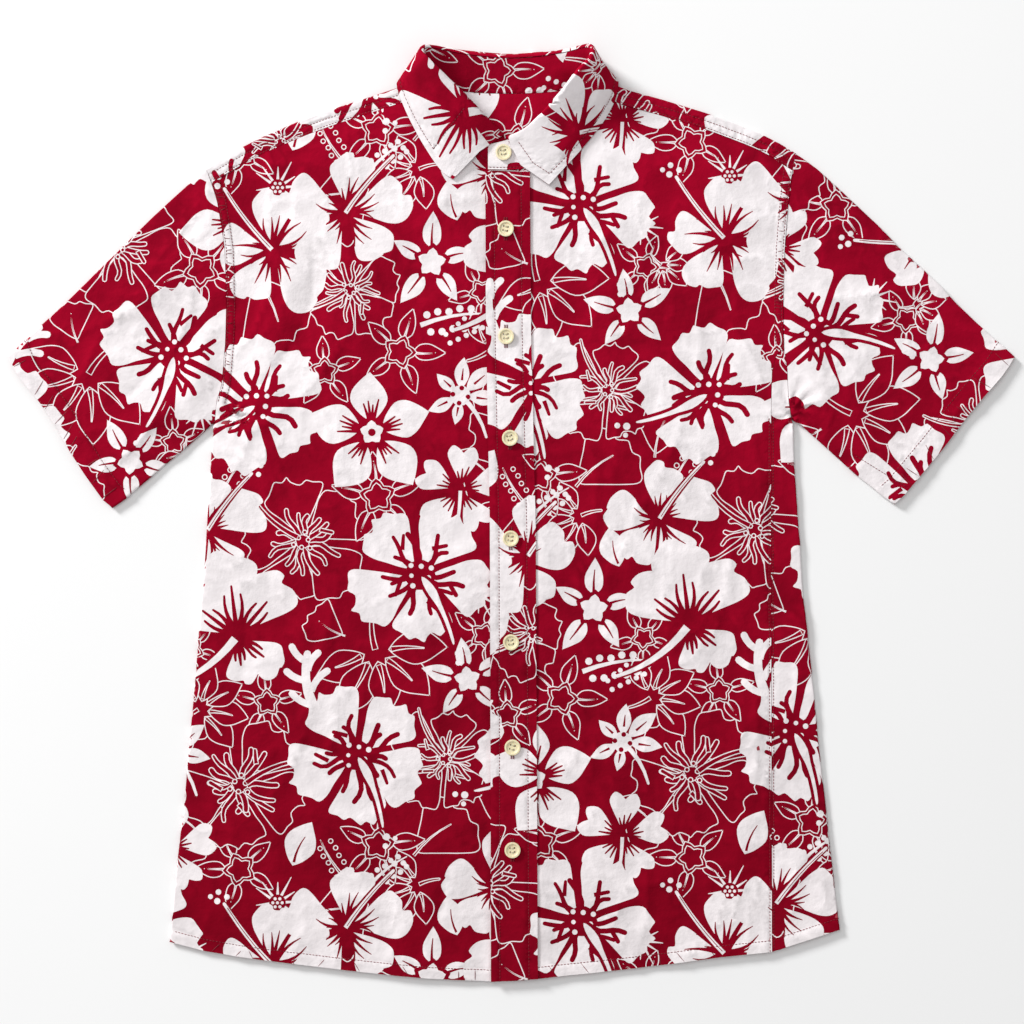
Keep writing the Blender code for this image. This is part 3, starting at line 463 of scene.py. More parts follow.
def gathered(x, y):
    """Puckers that spread out from the underarms, between -1 and 1."""
    total = 0.0
    for cx, cy, reach in GATHERS:
        away = np.hypot(x - cx, y - cy) / reach
        fan = np.cos(9.0 * np.arctan2(y - cy, x - cx) + 2.5 * away)
        total = total + fan * np.exp(-(away**2)) * step(away * 2.5)
    return total


def distance_from(points, line):
    """Distance of each point from a line."""
    start = line[:-1]
    along = line[1:] - start
    offset = points[:, None] - start[None]
    t = (offset * along).sum(-1) / np.maximum((along * along).sum(-1), 1e-12)
    gap = offset - np.clip(t, 0.0, 1.0)[..., None] * along
    return np.sqrt((gap**2).sum(-1).min(1))


# ---------------------------------------------------------------- edges that pieces share
LOW_ROWS = 18  # rows of each panel below the underarm
COLUMNS = 12  # across each front, and along each shoulder
UNDERARM_RIGHT = np.array([-0.42, -0.91])  # mitre of the sleeve's roll and the body's
UNDERARM_LEFT = np.array([0.434, -0.90])
SHOULDER_MITRE_RIGHT = np.array([-0.60, 0.80])
SHOULDER_MITRE_LEFT = np.array([0.545, 0.838])
ROLL_STEPS = 7
NECK_RIGHT, NECK_LEFT = 8, 20  # sections of the collar that stand on the shoulder line
SEAM_NECK_RIGHT, SEAM_NECK_LEFT = 4, 24  # sections where the shoulder seams meet the neck

armhole_right, armhole_left = np.array(ARMHOLE_RIGHT), np.array(ARMHOLE_LEFT)
side_right = run(shift(BODY_RIGHT_SIDE, -HALF), LOW_ROWS)
side_right[-1] = armhole_right[0]
side_left = run(shift(BODY_LEFT_SIDE, HALF), LOW_ROWS)
side_left[-1] = armhole_left[0]
side_seam = run(SIDE_SEAM_LEFT, LOW_ROWS)
shoulder_right = run(shift(SHOULDER_RIGHT, -HALF), COLUMNS)
shoulder_right[0] = armhole_right[-1]
shoulder_left = run(shift(SHOULDER_LEFT, HALF), COLUMNS)
shoulder_left[0] = armhole_left[-1]
collar = {name: np.array(values) for name, values in zip(COLLAR_COLUMNS.split(), zip(*COLLAR))}


def collar_points(part):
    return np.stack([collar[f"{part}_{axis}"] for axis in "xyz"], axis=1)


def neckline():
    """The neck edge of the fronts and the yoke: just clear of the foot of the stand."""
    foot, top = collar_points("foot"), collar_points("top")
    clear = SEAM + 0.15 + 0.75 * np.abs(unit(top - foot)[:, 2])
    clear[NECK_RIGHT:NECK_LEFT] *= -1.0  # behind, the cloth lies on the stand's other side
    return shift(foot[:, :2], clear)


neck_line = neckline()
neck_line[NECK_RIGHT] = shoulder_right[-1]
neck_line[NECK_LEFT] = shoulder_left[-1]


def forward_seam(shoulder, armhole, neck_end, side):
    """The shoulder seam on the front, from the armhole to the neck."""
    line = shift(shoulder, -side * FORWARD)
    line[0], line[-1] = armhole[SEAM_ROW], neck_end
    return line


forward_right = forward_seam(shoulder_right, armhole_right, neck_line[SEAM_NECK_RIGHT], 1)
forward_left = forward_seam(shoulder_left, armhole_left, neck_line[SEAM_NECK_LEFT], -1)


def hem_row(start, end):
    across = np.linspace(start[0], end[0], COLUMNS)
    row = np.stack([across, hem_y(across)], axis=1)
    row[0], row[-1] = start, end
    return row


def outward_of(edge, side, first=None, last=None):
    """Unit directions in plan square to an edge, to its left for side 1 and right for -1."""
    along = np.gradient(edge, axis=0)
    out = unit(side * np.stack([-along[:, 1], along[:, 0]], axis=1))
    if first is not None:
        out[0] = unit(first)
    if last is not None:
        out[-1] = unit(last)
    return out


def coons(bottom, top, left, right):
    """Grid in plan between four edge lines; rows run from bottom to top."""
    u = np.linspace(0.0, 1.0, len(bottom))[None, :, None]
    v = np.linspace(0.0, 1.0, len(left))[:, None, None]
    ruled = (1 - v) * bottom[None] + v * top[None] + (1 - u) * left[:, None] + u * right[:, None]
    corners = (
        (1 - u) * (1 - v) * bottom[0] + u * (1 - v) * bottom[-1]
        + (1 - u) * v * top[0] + u * v * top[-1]
    )
    return ruled - corners


def strip(first, second, columns):
    """Grid in plan ruled between two edge lines."""
    u = np.linspace(0.0, 1.0, columns)[None, :, None]
    return (1 - u) * first[:, None] + u * second[:, None]


# ---------------------------------------------------------------- patches on the form
def lay(plan, height, flat=None, rests=0.0):
    """A patch of a layer: its places in space, its flat pattern, and 1 where it is under."""
    points = np.dstack([plan, height(plan[..., 0], plan[..., 1])])
    return points, plan if flat is None else flat, np.full(plan.shape[:2], rests)


def roll(edge, outward, flat_top, flat_low):
    """The patch that turns round a fold, from the upper layer down to the lower one."""
    high, low = over(edge[:, 0], edge[:, 1]), under(edge[:, 0], edge[:, 1])
    radius, middle = (high - low) / 2, (high + low) / 2
    share = np.linspace(0.0, 1.0, ROLL_STEPS + 1)
    turn = math.pi * (0.5 - share)
    out = radius[:, None] * np.cos(turn)
    points = np.dstack([
        edge[:, None, 0] + outward[:, None, 0] * out,
        edge[:, None, 1] + outward[:, None, 1] * out,
        middle[:, None] + radius[:, None] * np.sin(turn),
    ])
    flat = flat_top[:, None] * (1 - share)[:, None] + flat_low[:, None] * share[:, None]
    return points, flat, np.broadcast_to(share, points.shape[:2])


def unrolled(edge, outward, plan):
    """Flat pattern of a strip beyond a roll: the cloth's own distance out from the fold."""
    reach = ROUND_ROLL + np.linalg.norm(plan - edge[:, None], axis=2)
    return edge[:, None] + outward[:, None] * reach[..., None]


# ---------------------------------------------------------------- the print
WHITE, RED = 1, 0


def closed(controls, parts=3):
    """A closed smooth line through the control points, which are complex numbers."""
    b = np.asarray(controls, complex)
    t = np.linspace(0.0, 1.0, parts, endpoint=False)[:, None]
    return smooth(np.roll(b, 1), b, np.roll(b, -1), np.roll(b, -2), t).T.ravel()


def inset(loop, depth):
    """The closed line moved inwards."""
    turn = np.roll(loop, -1) - np.roll(loop, 1)
    turn = turn / np.maximum(np.abs(turn), 1e-9)
    area = (loop.real * np.roll(loop.imag, -1) - loop.imag * np.roll(loop.real, -1)).sum()
    return loop + 1j * turn * depth * np.sign(area)


def stroke(start, end, wide, narrow, bow=0.0, steps=5, sway=0.0):
    """A brush stroke: a bowed or swaying line that tapers or swells, with round ends."""
    t = np.linspace(0.0, 1.0, steps)
    middle = start + (end - start) * (t + 4j * bow * t * (1 - t) + 1j * sway * np.sin(6.283 * t))
    turn = np.gradient(middle)
    turn = turn / np.abs(turn)
    half = (wide + (narrow - wide) * t) / 2
    tip = middle[-1] + narrow / 2 * turn[-1] * np.exp(1j * np.radians([45.0, 0.0, -45.0]))
    return np.concatenate([middle + 1j * turn * half, tip, (middle - 1j * turn * half)[::-1]])


def disc(centre, radius, sides=10):
    return centre + radius * np.exp(2j * math.pi * np.arange(sides) / sides)


def about(angle):
    return np.exp(1j * np.radians(angle))


# half outlines of petals, from the base to the tip: (along, left of it, right of it)
RUFFLED = [
    (0.15, 0.03, 0.03), (0.27, 0.15, 0.12), (0.44, 0.27, 0.24), (0.60, 0.39, 0.35), (0.76, 0.44, 0.45),
    (0.85, 0.36, 0.44), (0.91, 0.31, 0.32), (0.99, 0.24, 0.22), (0.95, 0.13, 0.12), (1.02, 0.05, 0.00),
]
ROUND = [
    (0.12, 0.02, 0.02), (0.28, 0.14, 0.11), (0.46, 0.27, 0.22), (0.64, 0.38, 0.33), (0.80, 0.41, 0.38),
    (0.92, 0.31, 0.33), (1.01, 0.19, 0.17), (1.00, 0.05, -0.01),
]
POINTED = [
    (0.2, 0.02, 0.02), (0.32, 0.17, 0.14), (0.54, 0.31, 0.26), (0.74, 0.29, 0.22), (0.92, 0.15, 0.1),
    (1.04, 0.01, 0.01),
]
BLADE = [
    (0.3, 0.02, 0.02), (0.44, 0.14, 0.13), (0.66, 0.16, 0.14), (0.86, 0.09, 0.09),
    (1.04, 0.005, 0.005),
]
NOTCHED = [
    (0.14, 0.015, 0.015), (0.34, 0.14, 0.11), (0.58, 0.29, 0.26), (0.80, 0.38, 0.34), (1.0, 0.28, 0.24),
    (0.97, 0.13, 0.11), (0.88, 0.02, 0.02),
]
STAMEN = [
    0.03, 0.13 + 0.045j, 0.3 + 0.065j, 0.48 + 0.04j, 0.7 + 0.035j, 1.0 + 0.04j, 1.06 + 0.02j, 1.0,
    0.7 - 0.015j, 0.48 - 0.03j, 0.3 - 0.055j, 0.13 - 0.045j,
]


def petal(shape, length, turn, width=1.0, wave=0.0, phase=0.0):
    """A petal of one of the shapes, its edge waved a little."""
    table = np.array(shape)
    ripple = 1.0 + wave * np.sin(phase + 7.0 * np.arange(len(table)))
    left = table[:, 0] * ripple + 1j * width * table[:, 1]
    right = table[:, 0] * (2.0 - ripple) - 1j * width * table[:, 2]
    return closed(np.concatenate([right, left[::-1]])) * length * turn


def fingers(turn, chance, leans, reach, thick):
    """Veins that sway from the heart of a flower into a petal, round and thick at their tips."""
    shapes = []
    for lean in leans:
        far = reach * chance.uniform(0.7, 1.15)
        tip = far * turn * about(lean + chance.uniform(-4, 4))
        base = 0.1 * turn * about(lean)
        bow, sway = chance.uniform(-0.16, 0.16), chance.uniform(-0.09, 0.09)
        end = thick * chance.uniform(0.8, 1.3)
        shapes.append((RED, stroke(base, tip, thick * 1.25, end, bow, 7, sway)))
        if abs(lean) < 10.0 and chance.uniform() < 0.6:
            start = base * 0.4 + tip * 0.6
            branch = start + 0.2 * turn * about(chance.choice([-46.0, 46.0]))
            shapes.append((RED, stroke(start, branch, thick, end * 0.9)))
    return shapes


def five_turns(chance, play, first=36.0):
    """The directions of a flower's five petals, each off by up to some degrees of play."""
    for k in range(5):
        yield about(first + 72.0 * k + chance.uniform(-play, play))


def discs(places):
    """White dots, from (place, radius)."""
    return [(WHITE, disc(at, radius)) for at, radius in places]


def open_hibiscus(chance):
    """Seen from the front: five ruffled petals with thick veins, a ring of dots, one stamen."""
    shapes, veins = [], []
    for turn in five_turns(chance, 6):
        length, width = chance.uniform(0.85, 1.04), chance.uniform(0.9, 1.06)
        shapes.append((WHITE, petal(RUFFLED, length, turn, width, 0.04, chance.uniform(0, 6))))
        leans = ((-21.0, -3.0, 17.0), (-14.0, 9.0), (-22.0, -6.0, 12.0))[chance.integers(3)]
        veins += fingers(turn, chance, leans, 0.56, 0.06)
    shapes += veins
    shapes.append((RED, disc(0j, 0.21, 14)))
    for k in range(7):
        at = (0.12 + 0.06 * (k % 2)) * about(51.0 * k + 33.0)
        shapes.append((WHITE, disc(at, chance.uniform(0.028, 0.04))))
    club = closed(np.array(STAMEN), 2)
    club = club * np.exp(-0.22j * club.real)
    shapes += [(RED, inset(club, -0.045)), (WHITE, club)]
    return shapes + discs([(1.17 - 0.25j, 0.05), (1.25 - 0.16j, 0.035), (1.27 - 0.33j, 0.04)])


def long_hibiscus(chance):
    """Seen aslant: round petals, fine pointed veins and a long stamen in a double line."""
    shapes, veins = [], []
    for turn in five_turns(chance, 9):
        length, width = chance.uniform(0.8, 1.04), chance.uniform(0.9, 1.08)
        shapes.append((WHITE, petal(ROUND, length, turn, width, 0.06, chance.uniform(0, 6))))
        for lean in (-23.0, -9.0, 3.0, 17.0):
            tip = chance.uniform(0.3, 0.62) * turn * about(lean * 1.1)
            bow = chance.uniform(-0.14, 0.14)
            veins.append((RED, stroke(0.05 * turn, tip, 0.085, 0.012, bow, 6)))
    shapes += veins
    shapes.append((RED, disc(0j, 0.12, 12)))
    shapes.append((RED, stroke(0j, 1.2 + 0j, 0.15, 0.09, 0.03, 7)))
    shapes.append((WHITE, stroke(0j, 1.2 + 0j, 0.07, 0.05, 0.03, 7)))
    shapes.append((RED, stroke(0.04 + 0j, 1.12 + 0j, 0.012, 0.012, 0.03, 7)))
    return shapes + discs([
        (1.3 + 0.06j, 0.05), (1.26 - 0.1j, 0.045), (1.4 - 0.04j, 0.045), (1.42 + 0.1j, 0.04),
    ])


def small_hibiscus(chance):
    """Five notched petals, each with three veins, and a short stamen."""
    shapes = []
    for turn in five_turns(chance, 6):
        shapes.append((WHITE, petal(NOTCHED, chance.uniform(0.92, 1.05), turn, 1.0, 0.02)))
        for lean in (-15.0, 0.0, 15.0):
            tip = chance.uniform(0.38, 0.55) * turn * about(lean)
            shapes.append((RED, stroke(0.08 * turn, tip, 0.085, 0.03)))
    shapes.append((RED, stroke(0j, 0.92 + 0j, 0.19, 0.12, 0.02, 6)))
    shapes.append((WHITE, stroke(0.02 + 0j, 0.95 + 0j, 0.08, 0.06, 0.02, 6)))
    return shapes


def five_lobes(depth):
    """Directions round a flower's heart, and how far its five lobes reach in each."""
    turn = np.exp(2j * math.pi * np.arange(20) / 20)
    return turn, 1.0 + depth * np.cos(5 * np.angle(turn))


def plumeria(chance):
    """Five pointed petals round a small rosette."""
    shapes = []
    for k in range(5):
        turn = about(72.0 * k)
        shapes.append((WHITE, petal(POINTED, chance.uniform(0.96, 1.06), turn, 1.12)))
        for lean in (-17.0, -5.0, 6.0, 18.0):
            tip = chance.uniform(0.42, 0.58) * turn * about(lean * 0.8)
            shapes.append((RED, stroke(0.17 * turn * about(lean * 0.5), tip, 0.07, 0.025)))
    turn, lobes = five_lobes(0.16)
    return shapes + [(RED, 0.25 * turn), (WHITE, 0.175 * lobes * turn), (RED, disc(0j, 0.065))]


def star(chance):
    """A star flower: five blades, each split by its midrib, round a white star."""
    shapes = []
    for turn in five_turns(chance, 6, 0.0):
        length = chance.uniform(0.92, 1.1)
        shapes.append((WHITE, petal(BLADE, length, turn, 1.25)))
        tip = 0.8 * length * turn
        shapes.append((RED, stroke(0.28 * turn, tip, 0.075, 0.02, chance.uniform(-0.05, 0.05))))
    turn, lobes = five_lobes(0.2)
    return shapes + [(RED, 0.36 * lobes * turn), (WHITE, 0.27 * lobes * turn)]


def bells(chance):
    """A spray of small pointed flowers seen from the side."""
    shapes = []
    for lean, length in (
        (-62.0, 0.9), (-20.0, 1.0), (24.0, 0.86), (80.0, 0.72), (150.0, 0.8), (205.0, 0.66),
    ):
        turn = about(lean + chance.uniform(-6, 6))
        shapes.append((WHITE, petal(POINTED, length, turn, 0.7)))
        shapes.append((RED, stroke(0.42 * length * turn, 0.74 * length * turn, 0.06, 0.02)))
    shapes.append((WHITE, disc(0j, 0.24, 14)))
    for k in range(4):
        shapes.append((RED, disc(0.18 * about(90.0 * k + 20.0), 0.06, 8)))
    shapes.append((WHITE, stroke(0j, 1.15 * about(-118.0), 0.12, 0.06, 0.08)))
    return shapes


def lily(chance):
    """Long petals thrown to one side, curved veins, a stamen with dots along it."""
    shapes = []
    for lean, length in ((-165.0, 1.0), (-118.0, 1.12), (-72.0, 0.95), (108.0, 0.72), (62.0, 0.62)):
        turn = about(lean)
        shapes.append((WHITE, petal(ROUND, length, turn, 0.9, 0.05, chance.uniform(0, 6))))
        for side in (-1, 0, 1):
            tip = (0.62 - 0.1 * abs(side)) * length * turn * about(11.0 * side)
            shapes.append((RED, stroke(0.1 * turn, tip, 0.075, 0.03, 0.1 * side, 6)))
    shapes.append((RED, disc(0j, 0.12, 12)))
    shapes.append((RED, stroke(0j, 1.18 + 0j, 0.2, 0.1, 0.08, 8)))
    shapes.append((WHITE, stroke(0.04 + 0j, 1.2 + 0j, 0.11, 0.045, 0.08, 8)))
    for k in range(5):
        shapes.append((WHITE, disc(0.88 + 0.12 * k + 0.19j - 0.02j * k, 0.036)))
        shapes.append((WHITE, disc(0.9 + 0.11 * k - 0.06j + 0.01j * k, 0.034)))
    return shapes


def coral(_):
    """A white branch with round fingers."""
    shapes = [(WHITE, stroke(-0.7 + 0j, 0.8 + 0j, 0.26, 0.18, 0.1, 6))]
    for at, lean, length in (
        (-0.45, 52.0, 0.6), (-0.1, -48.0, 0.62), (0.15, 58.0, 0.6), (0.4, -40.0, 0.5), (0.62, 34.0, 0.5),
    ):
        start = at + 0.06j
        shapes.append((WHITE, stroke(start, start + length * about(lean), 0.16, 0.17, 0.1, 5)))
    return shapes


def leaf(_):
    """A pointed leaf with a rib."""
    rib = stroke(-0.3 + 0j, 0.3 + 0j, 0.06, 0.02, 0.06)
    return [(WHITE, petal(POINTED, 1.2, 1.0, 1.0) - 0.6), (RED, rib)]


def sunburst(chance):
    """A small flower of fine rays and dots."""
    shapes = []
    for k in range(12):
        turn = about(30.0 * k + chance.uniform(-7, 7))
        shapes.append((WHITE, stroke(0.3 * turn, chance.uniform(0.7, 1.05) * turn, 0.1, 0.03)))
    for k in range(6):
        shapes.append((WHITE, disc(0.17 * about(60.0 * k), 0.06, 8)))
    return shapes + [(WHITE, disc(0j, 0.06, 8))]


def berries(_):
    """A stem with two rows of round berries."""
    shapes = [(WHITE, stroke(-1.0 + 0j, 1.0 + 0.1j, 0.16, 0.05, 0.05))]
    for k in range(5):
        shapes.append((WHITE, disc(-0.75 + 0.36 * k + 0.3j + 0.05j * (k % 2), 0.12)))
        shapes.append((WHITE, disc(-0.7 + 0.36 * k - 0.26j - 0.04j * (k % 2), 0.12)))
    return shapes


def outline_leaf(chance):
    """A broad leaf with a wavy edge, drawn as a line."""
    edge = petal(RUFFLED, 1.5, 1.0, 1.15, 0.03, chance.uniform(0, 6)) - 0.8
    return [(WHITE, edge), (WHITE, stroke(-0.7 + 0j, 0.3 + 0j, 0.07, 0.03, 0.06))]


def outline_fan(chance):
    """A flower seen from behind: petals in a fan with ribs."""
    shapes = []
    for lean in (-78.0, -40.0, 0.0, 38.0, 80.0):
        turn = about(lean)
        length = chance.uniform(0.9, 1.1)
        shapes.append((WHITE, petal(POINTED, length, turn, 0.9)))
        shapes.append((WHITE, stroke(0.24 * turn, 0.7 * length * turn, 0.09, 0.03, 0.04)))
    shapes.append((WHITE, stroke(0j, -0.5 + 0.05j, 0.1, 0.07, 0.05)))
    return shapes


def outline_hibiscus(chance):
    """An open flower drawn as a line: petals, swaying ribs, the heart's dots and the stamen."""
    shapes, ribs = [], []
    for turn in five_turns(chance, 7):
        length = chance.uniform(0.86, 1.08)
        shapes.append((WHITE, petal(RUFFLED, length, turn, 1.1, 0.05, chance.uniform(0, 6))))
        ribs += fingers(turn, chance, (-20.0, 0.0, 20.0), 0.52, 0.075)
    shapes += [(WHITE, loop) for _, loop in ribs]
    for k in range(6):
        shapes.append((WHITE, disc((0.09 + 0.06 * (k % 2)) * about(60.0 * k), 0.04)))
    shapes.append((WHITE, stroke(0.1 + 0j, 1.1 + 0j, 0.09, 0.06, 0.08, 8)))
    return shapes


def outlined(shapes, line):
    """The shapes drawn as lines of a given width, with the ground inside."""
    return [pair for _, loop in shapes for pair in ((WHITE, loop), (RED, inset(loop, line)))]


MOTIFS = {
    "open_hibiscus": open_hibiscus, "long_hibiscus": long_hibiscus, "small_hibiscus": small_hibiscus,
    "plumeria": plumeria, "star": star, "bells": bells, "lily": lily, "coral": coral, "leaf": leaf,
    "sunburst": sunburst, "berries": berries, "outline_leaf": outline_leaf, "outline_fan": outline_fan,
    "outline_hibiscus": outline_hibiscus, "outline_star": star, "outline_berries": berries,
}
OUTLINE_WIDTH = 0.9


FIRST_DRAW, DRAWS = 3, 997  # number of the first motif in PRINT, and how many numbers there are


def repeat_shapes():
    """Every shape of one repeat, in drawing order: (ink, closed line in millimetres)."""
    shapes = []
    first = FIRST_DRAW - len(PRINT_UNDER)
    for number, (name, x, y, size, angle) in enumerate(PRINT_UNDER + PRINT, first):
        chance = np.random.default_rng(number % DRAWS)
        motif = MOTIFS[name](chance)
        if name.startswith("outline"):
            motif = outlined(motif, OUTLINE_WIDTH / size)
        for ink, loop in motif:
            shapes.append((ink, complex(x, y) + size * loop * about(angle)))
    return shapes


STEPS_ASIDE, STEPS_ALONG = range(-5, 6), range(-6, 7)  # of the repeat, enough for any piece


def print_on(name, low, high):
    """The shapes that fall on a piece whose flat pattern lies between two corners."""
    move_x, move_y, turn = PRINT_OVER[name]
    move = complex(move_x, move_y)
    first, second = complex(*REPEAT[0]), complex(*REPEAT[1])
    placed = []
    for ink, loop in repeat_shapes():
        loop = loop * about(turn) + move
        for i in STEPS_ASIDE:
            for j in STEPS_ALONG:
                at = loop + (first * i + second * j) * about(turn)
                if at.real.max() < low[0] or at.real.min() > high[0]:
                    continue
                if at.imag.max() < low[1] or at.imag.min() > high[1]:
                    continue
                placed.append((ink, np.stack([at.real, at.imag], axis=1)))
    return placed


def inside(points, loop):
    """Which points lie inside a closed line."""
    x, y = points[:, :1], points[:, 1:]
    ax, ay = loop[:, 0], loop[:, 1]
    bx, by = np.roll(ax, -1), np.roll(ay, -1)
    spans = (ay > y) != (by > y)
    rise = np.where(by == ay, 1e-12, by - ay)
    crosses = spans & (x < (bx - ax) * (y - ay) / rise + ax)
    return crosses.sum(1) % 2 == 1


def ink_at(points, shapes):
    """The ink that lies on top at each point of the flat pattern."""
    ink = np.zeros(len(points), int)
    order = np.argsort(points[:, 0])
    ranked = points[order]
    for colour, loop in shapes:
        first, last = np.searchsorted(ranked[:, 0], (loop[:, 0].min(), loop[:, 0].max()))
        near = ranked[first:last]
        rows = np.flatnonzero((near[:, 1] > loop[:, 1].min()) & (near[:, 1] < loop[:, 1].max()))
        hit = rows[inside(near[rows], loop)]
        ink[order[first + hit]] = colour
    return ink


# ---------------------------------------------------------------- a piece of cloth
class Cloth:
    """A piece on its form. Any point of its flat pattern can be set back on the form."""

    def __init__(self, name, patches, seed, soft, creased=crease_rise, wall=0.5):
        self.name, self.seed, self.soft, self.creased, self.wall = name, seed, soft, creased, wall
        self.bands, self.seams, self.pucker_shade_bars = [], [], []
        corners, faces, start = [], [], 0
        for points, flat, rests in patches:
            rows, columns = rests.shape
            index = start + np.arange(rows * columns).reshape(rows, columns)
            a, b, c, d = index[:-1, :-1], index[:-1, 1:], index[1:, 1:], index[1:, :-1]
            for cell in ((a, b, c), (a, c, d)):
                faces.append(np.stack(cell, axis=-1).reshape(-1, 3))
            corners.append(np.dstack([flat, points, rests[..., None]]).reshape(-1, 6))
            start += rows * columns
        corners, faces = np.concatenate(corners), np.concatenate(faces)
        _, first, index = np.unique(
            np.round(corners[:, :5], 2), axis=0, return_index=True, return_inverse=True
        )
        corners, faces = corners[first], index.ravel()[faces]
        self.flat, self.points, self.rest = corners[:, :2], corners[:, 2:5], corners[:, 5]
        span = self.flat[faces[:, 1:]] - self.flat[faces[:, :1]]
        area = np.linalg.det(span) / 2
        faces = faces[np.abs(area) > 0.003]
        span, area = span[np.abs(area) > 0.003], area[np.abs(area) > 0.003]
        faces[area < 0] = faces[area < 0][:, ::-1]
        self.faces, self.area = faces, np.abs(area)
        span = self.flat[faces[:, 1:]] - self.flat[faces[:, :1]]
        tangents = np.linalg.solve(span, self.points[faces[:, 1:]] - self.points[faces[:, :1]])
        self.tangents = np.zeros((len(self.flat), 2, 3))
        weight = np.zeros(len(self.flat))
        for k in range(3):
            np.add.at(self.tangents, faces[:, k], tangents * self.area[:, None, None])
            np.add.at(weight, faces[:, k], self.area)
        self.tangents /= np.maximum(weight, 1e-9)[:, None, None]
        self.tree = BVHTree.FromPolygons(
            [Vector((x, y, 0.0)) for x, y in self.flat.tolist()], faces.tolist(), all_triangles=True
        )

    def cut_size(self):
        """Width and length of the smallest rectangle that the flat pattern is cut from."""
        best = None
        for angle in range(0, 90, 2):
            c, s = math.cos(math.radians(angle)), math.sin(math.radians(angle))
            turned = self.flat @ np.array([[c, -s], [s, c]])
            size = np.ptp(turned, axis=0)
            if best is None or size[0] * size[1] < best[0] * best[1]:
                best = sorted(size)
        return best

    def find(self, flat):
        """For points of the flat pattern: their place between corners, and how far off it."""
        found = [self.tree.find_nearest(Vector((x, y, 0.0)))[2:] for x, y in flat.tolist()]
        face = np.array([item[0] for item in found])
        off = np.array([item[1] for item in found])
        corner = self.faces[face]
        a, b, c = (self.flat[corner[:, k]] for k in range(3))
        to_b, to_c, to_it = (b - a).T, (c - a).T, (flat - a).T
        det = to_b[0] * to_c[1] - to_b[1] * to_c[0]
        share_b = (to_it[0] * to_c[1] - to_it[1] * to_c[0]) / det
        share_c = (to_b[0] * to_it[1] - to_b[1] * to_it[0]) / det
        return corner, np.stack([1 - share_b - share_c, share_b, share_c], axis=1), off

    def puckers(self, flat, height):
        """For each seam: the distance of the points from it, and their rise in its puckers."""
        x, y = flat[:, 0], flat[:, 1]
        for number, line in enumerate(self.seams):
            gap = distance_from(flat, line)
            along = x * 1.7 + y * 1.3 + 40.0 * noise(x, y, 23.0, 7 + number)
            yield gap, height * np.sin(along * 0.62) * np.exp(-((gap / 4.5) ** 2))

    def normals(self, corner, share):
        """Tangents of the form at places between corners, and the directions square to them."""
        tangents = (self.tangents[corner] * share[..., None, None]).sum(1)
        return tangents, unit(np.cross(tangents[:, 0], tangents[:, 1]))

    def detail(self, flat, rest):
        """How far the cloth rises off its form: crumples, creases, seams and stitches."""
        x, y = flat[:, 0], flat[:, 1]
        sizes = bpy.context.scene.shirt_sizes
        fine = crumple(x, y, self.seed)
        above = self.soft * (sizes.crumples / MM * (fine - 0.4) + sizes.creases * self.creased(x, y))
        below = -self.soft * (0.8 * sizes.crumples / MM * fine + 0.5 * np.abs(self.creased(x, y)))
        total = above * (1 - rest) + below * rest
        sign = 1 - 2 * step((rest - 0.4) / 0.2)
        for line, depth, lift in self.bands:
            gap = distance_from(flat, line)
            total = total + lift * sign * (1 - step((gap - depth + STITCH_LINE) / (2 * STITCH_LINE)))
        for gap, pucker in self.puckers(flat, 0.16):
            total = total + (pucker - 0.24 * np.exp(-((gap / 0.7) ** 2))) * np.abs(sign)
        return np.where(rest > 0.98, np.minimum(total, 0.0), total)

    def hollow_shade(self, flat):
        """How deep each point lies between its crumples and puckers, from 0 to 1: the weight of the
        shade painted there.
        """
        x, y = flat[:, 0], flat[:, 1]
        total = 1.0 - 1.9 * crumple(x, y, self.seed) - 1.4 * gathered(x, y)
        for gap, pucker in self.puckers(flat, 0.5):
            total = total - pucker
            total = total + 0.5 * np.exp(-((gap / 1.2) ** 2))
        return np.clip(total, 0.0, 1.0)

    def place(self, flat, lift=0.0):
        """Points and outward directions in space of points of the flat pattern."""
        corner, share, _ = self.find(flat)
        rest = (self.rest[corner] * share).sum(1)
        points = (self.points[corner] * share[..., None]).sum(1)
        tangents, normal = self.normals(corner, share)
        reach = 0.35
        rise = self.detail(flat, rest)
        slope_x = (self.detail(flat + (reach, 0.0), rest) - rise) / reach
        slope_y = (self.detail(flat + (0.0, reach), rest) - rise) / reach
        turned = np.cross(
            tangents[:, 0] + slope_x[:, None] * normal, tangents[:, 1] + slope_y[:, None] * normal
        )
        return points + normal * (rise + lift)[:, None], unit(turned)


def open_edges(faces):
    """Edges of only one face, as pairs in the face's own direction."""
    edges = np.concatenate([faces[:, [0, 1]], faces[:, [1, 2]], faces[:, [2, 0]]])
    size = edges.max() + 1
    forward, backward = edges[:, 0] * size + edges[:, 1], edges[:, 1] * size + edges[:, 0]
    return edges[~np.isin(forward, backward)]


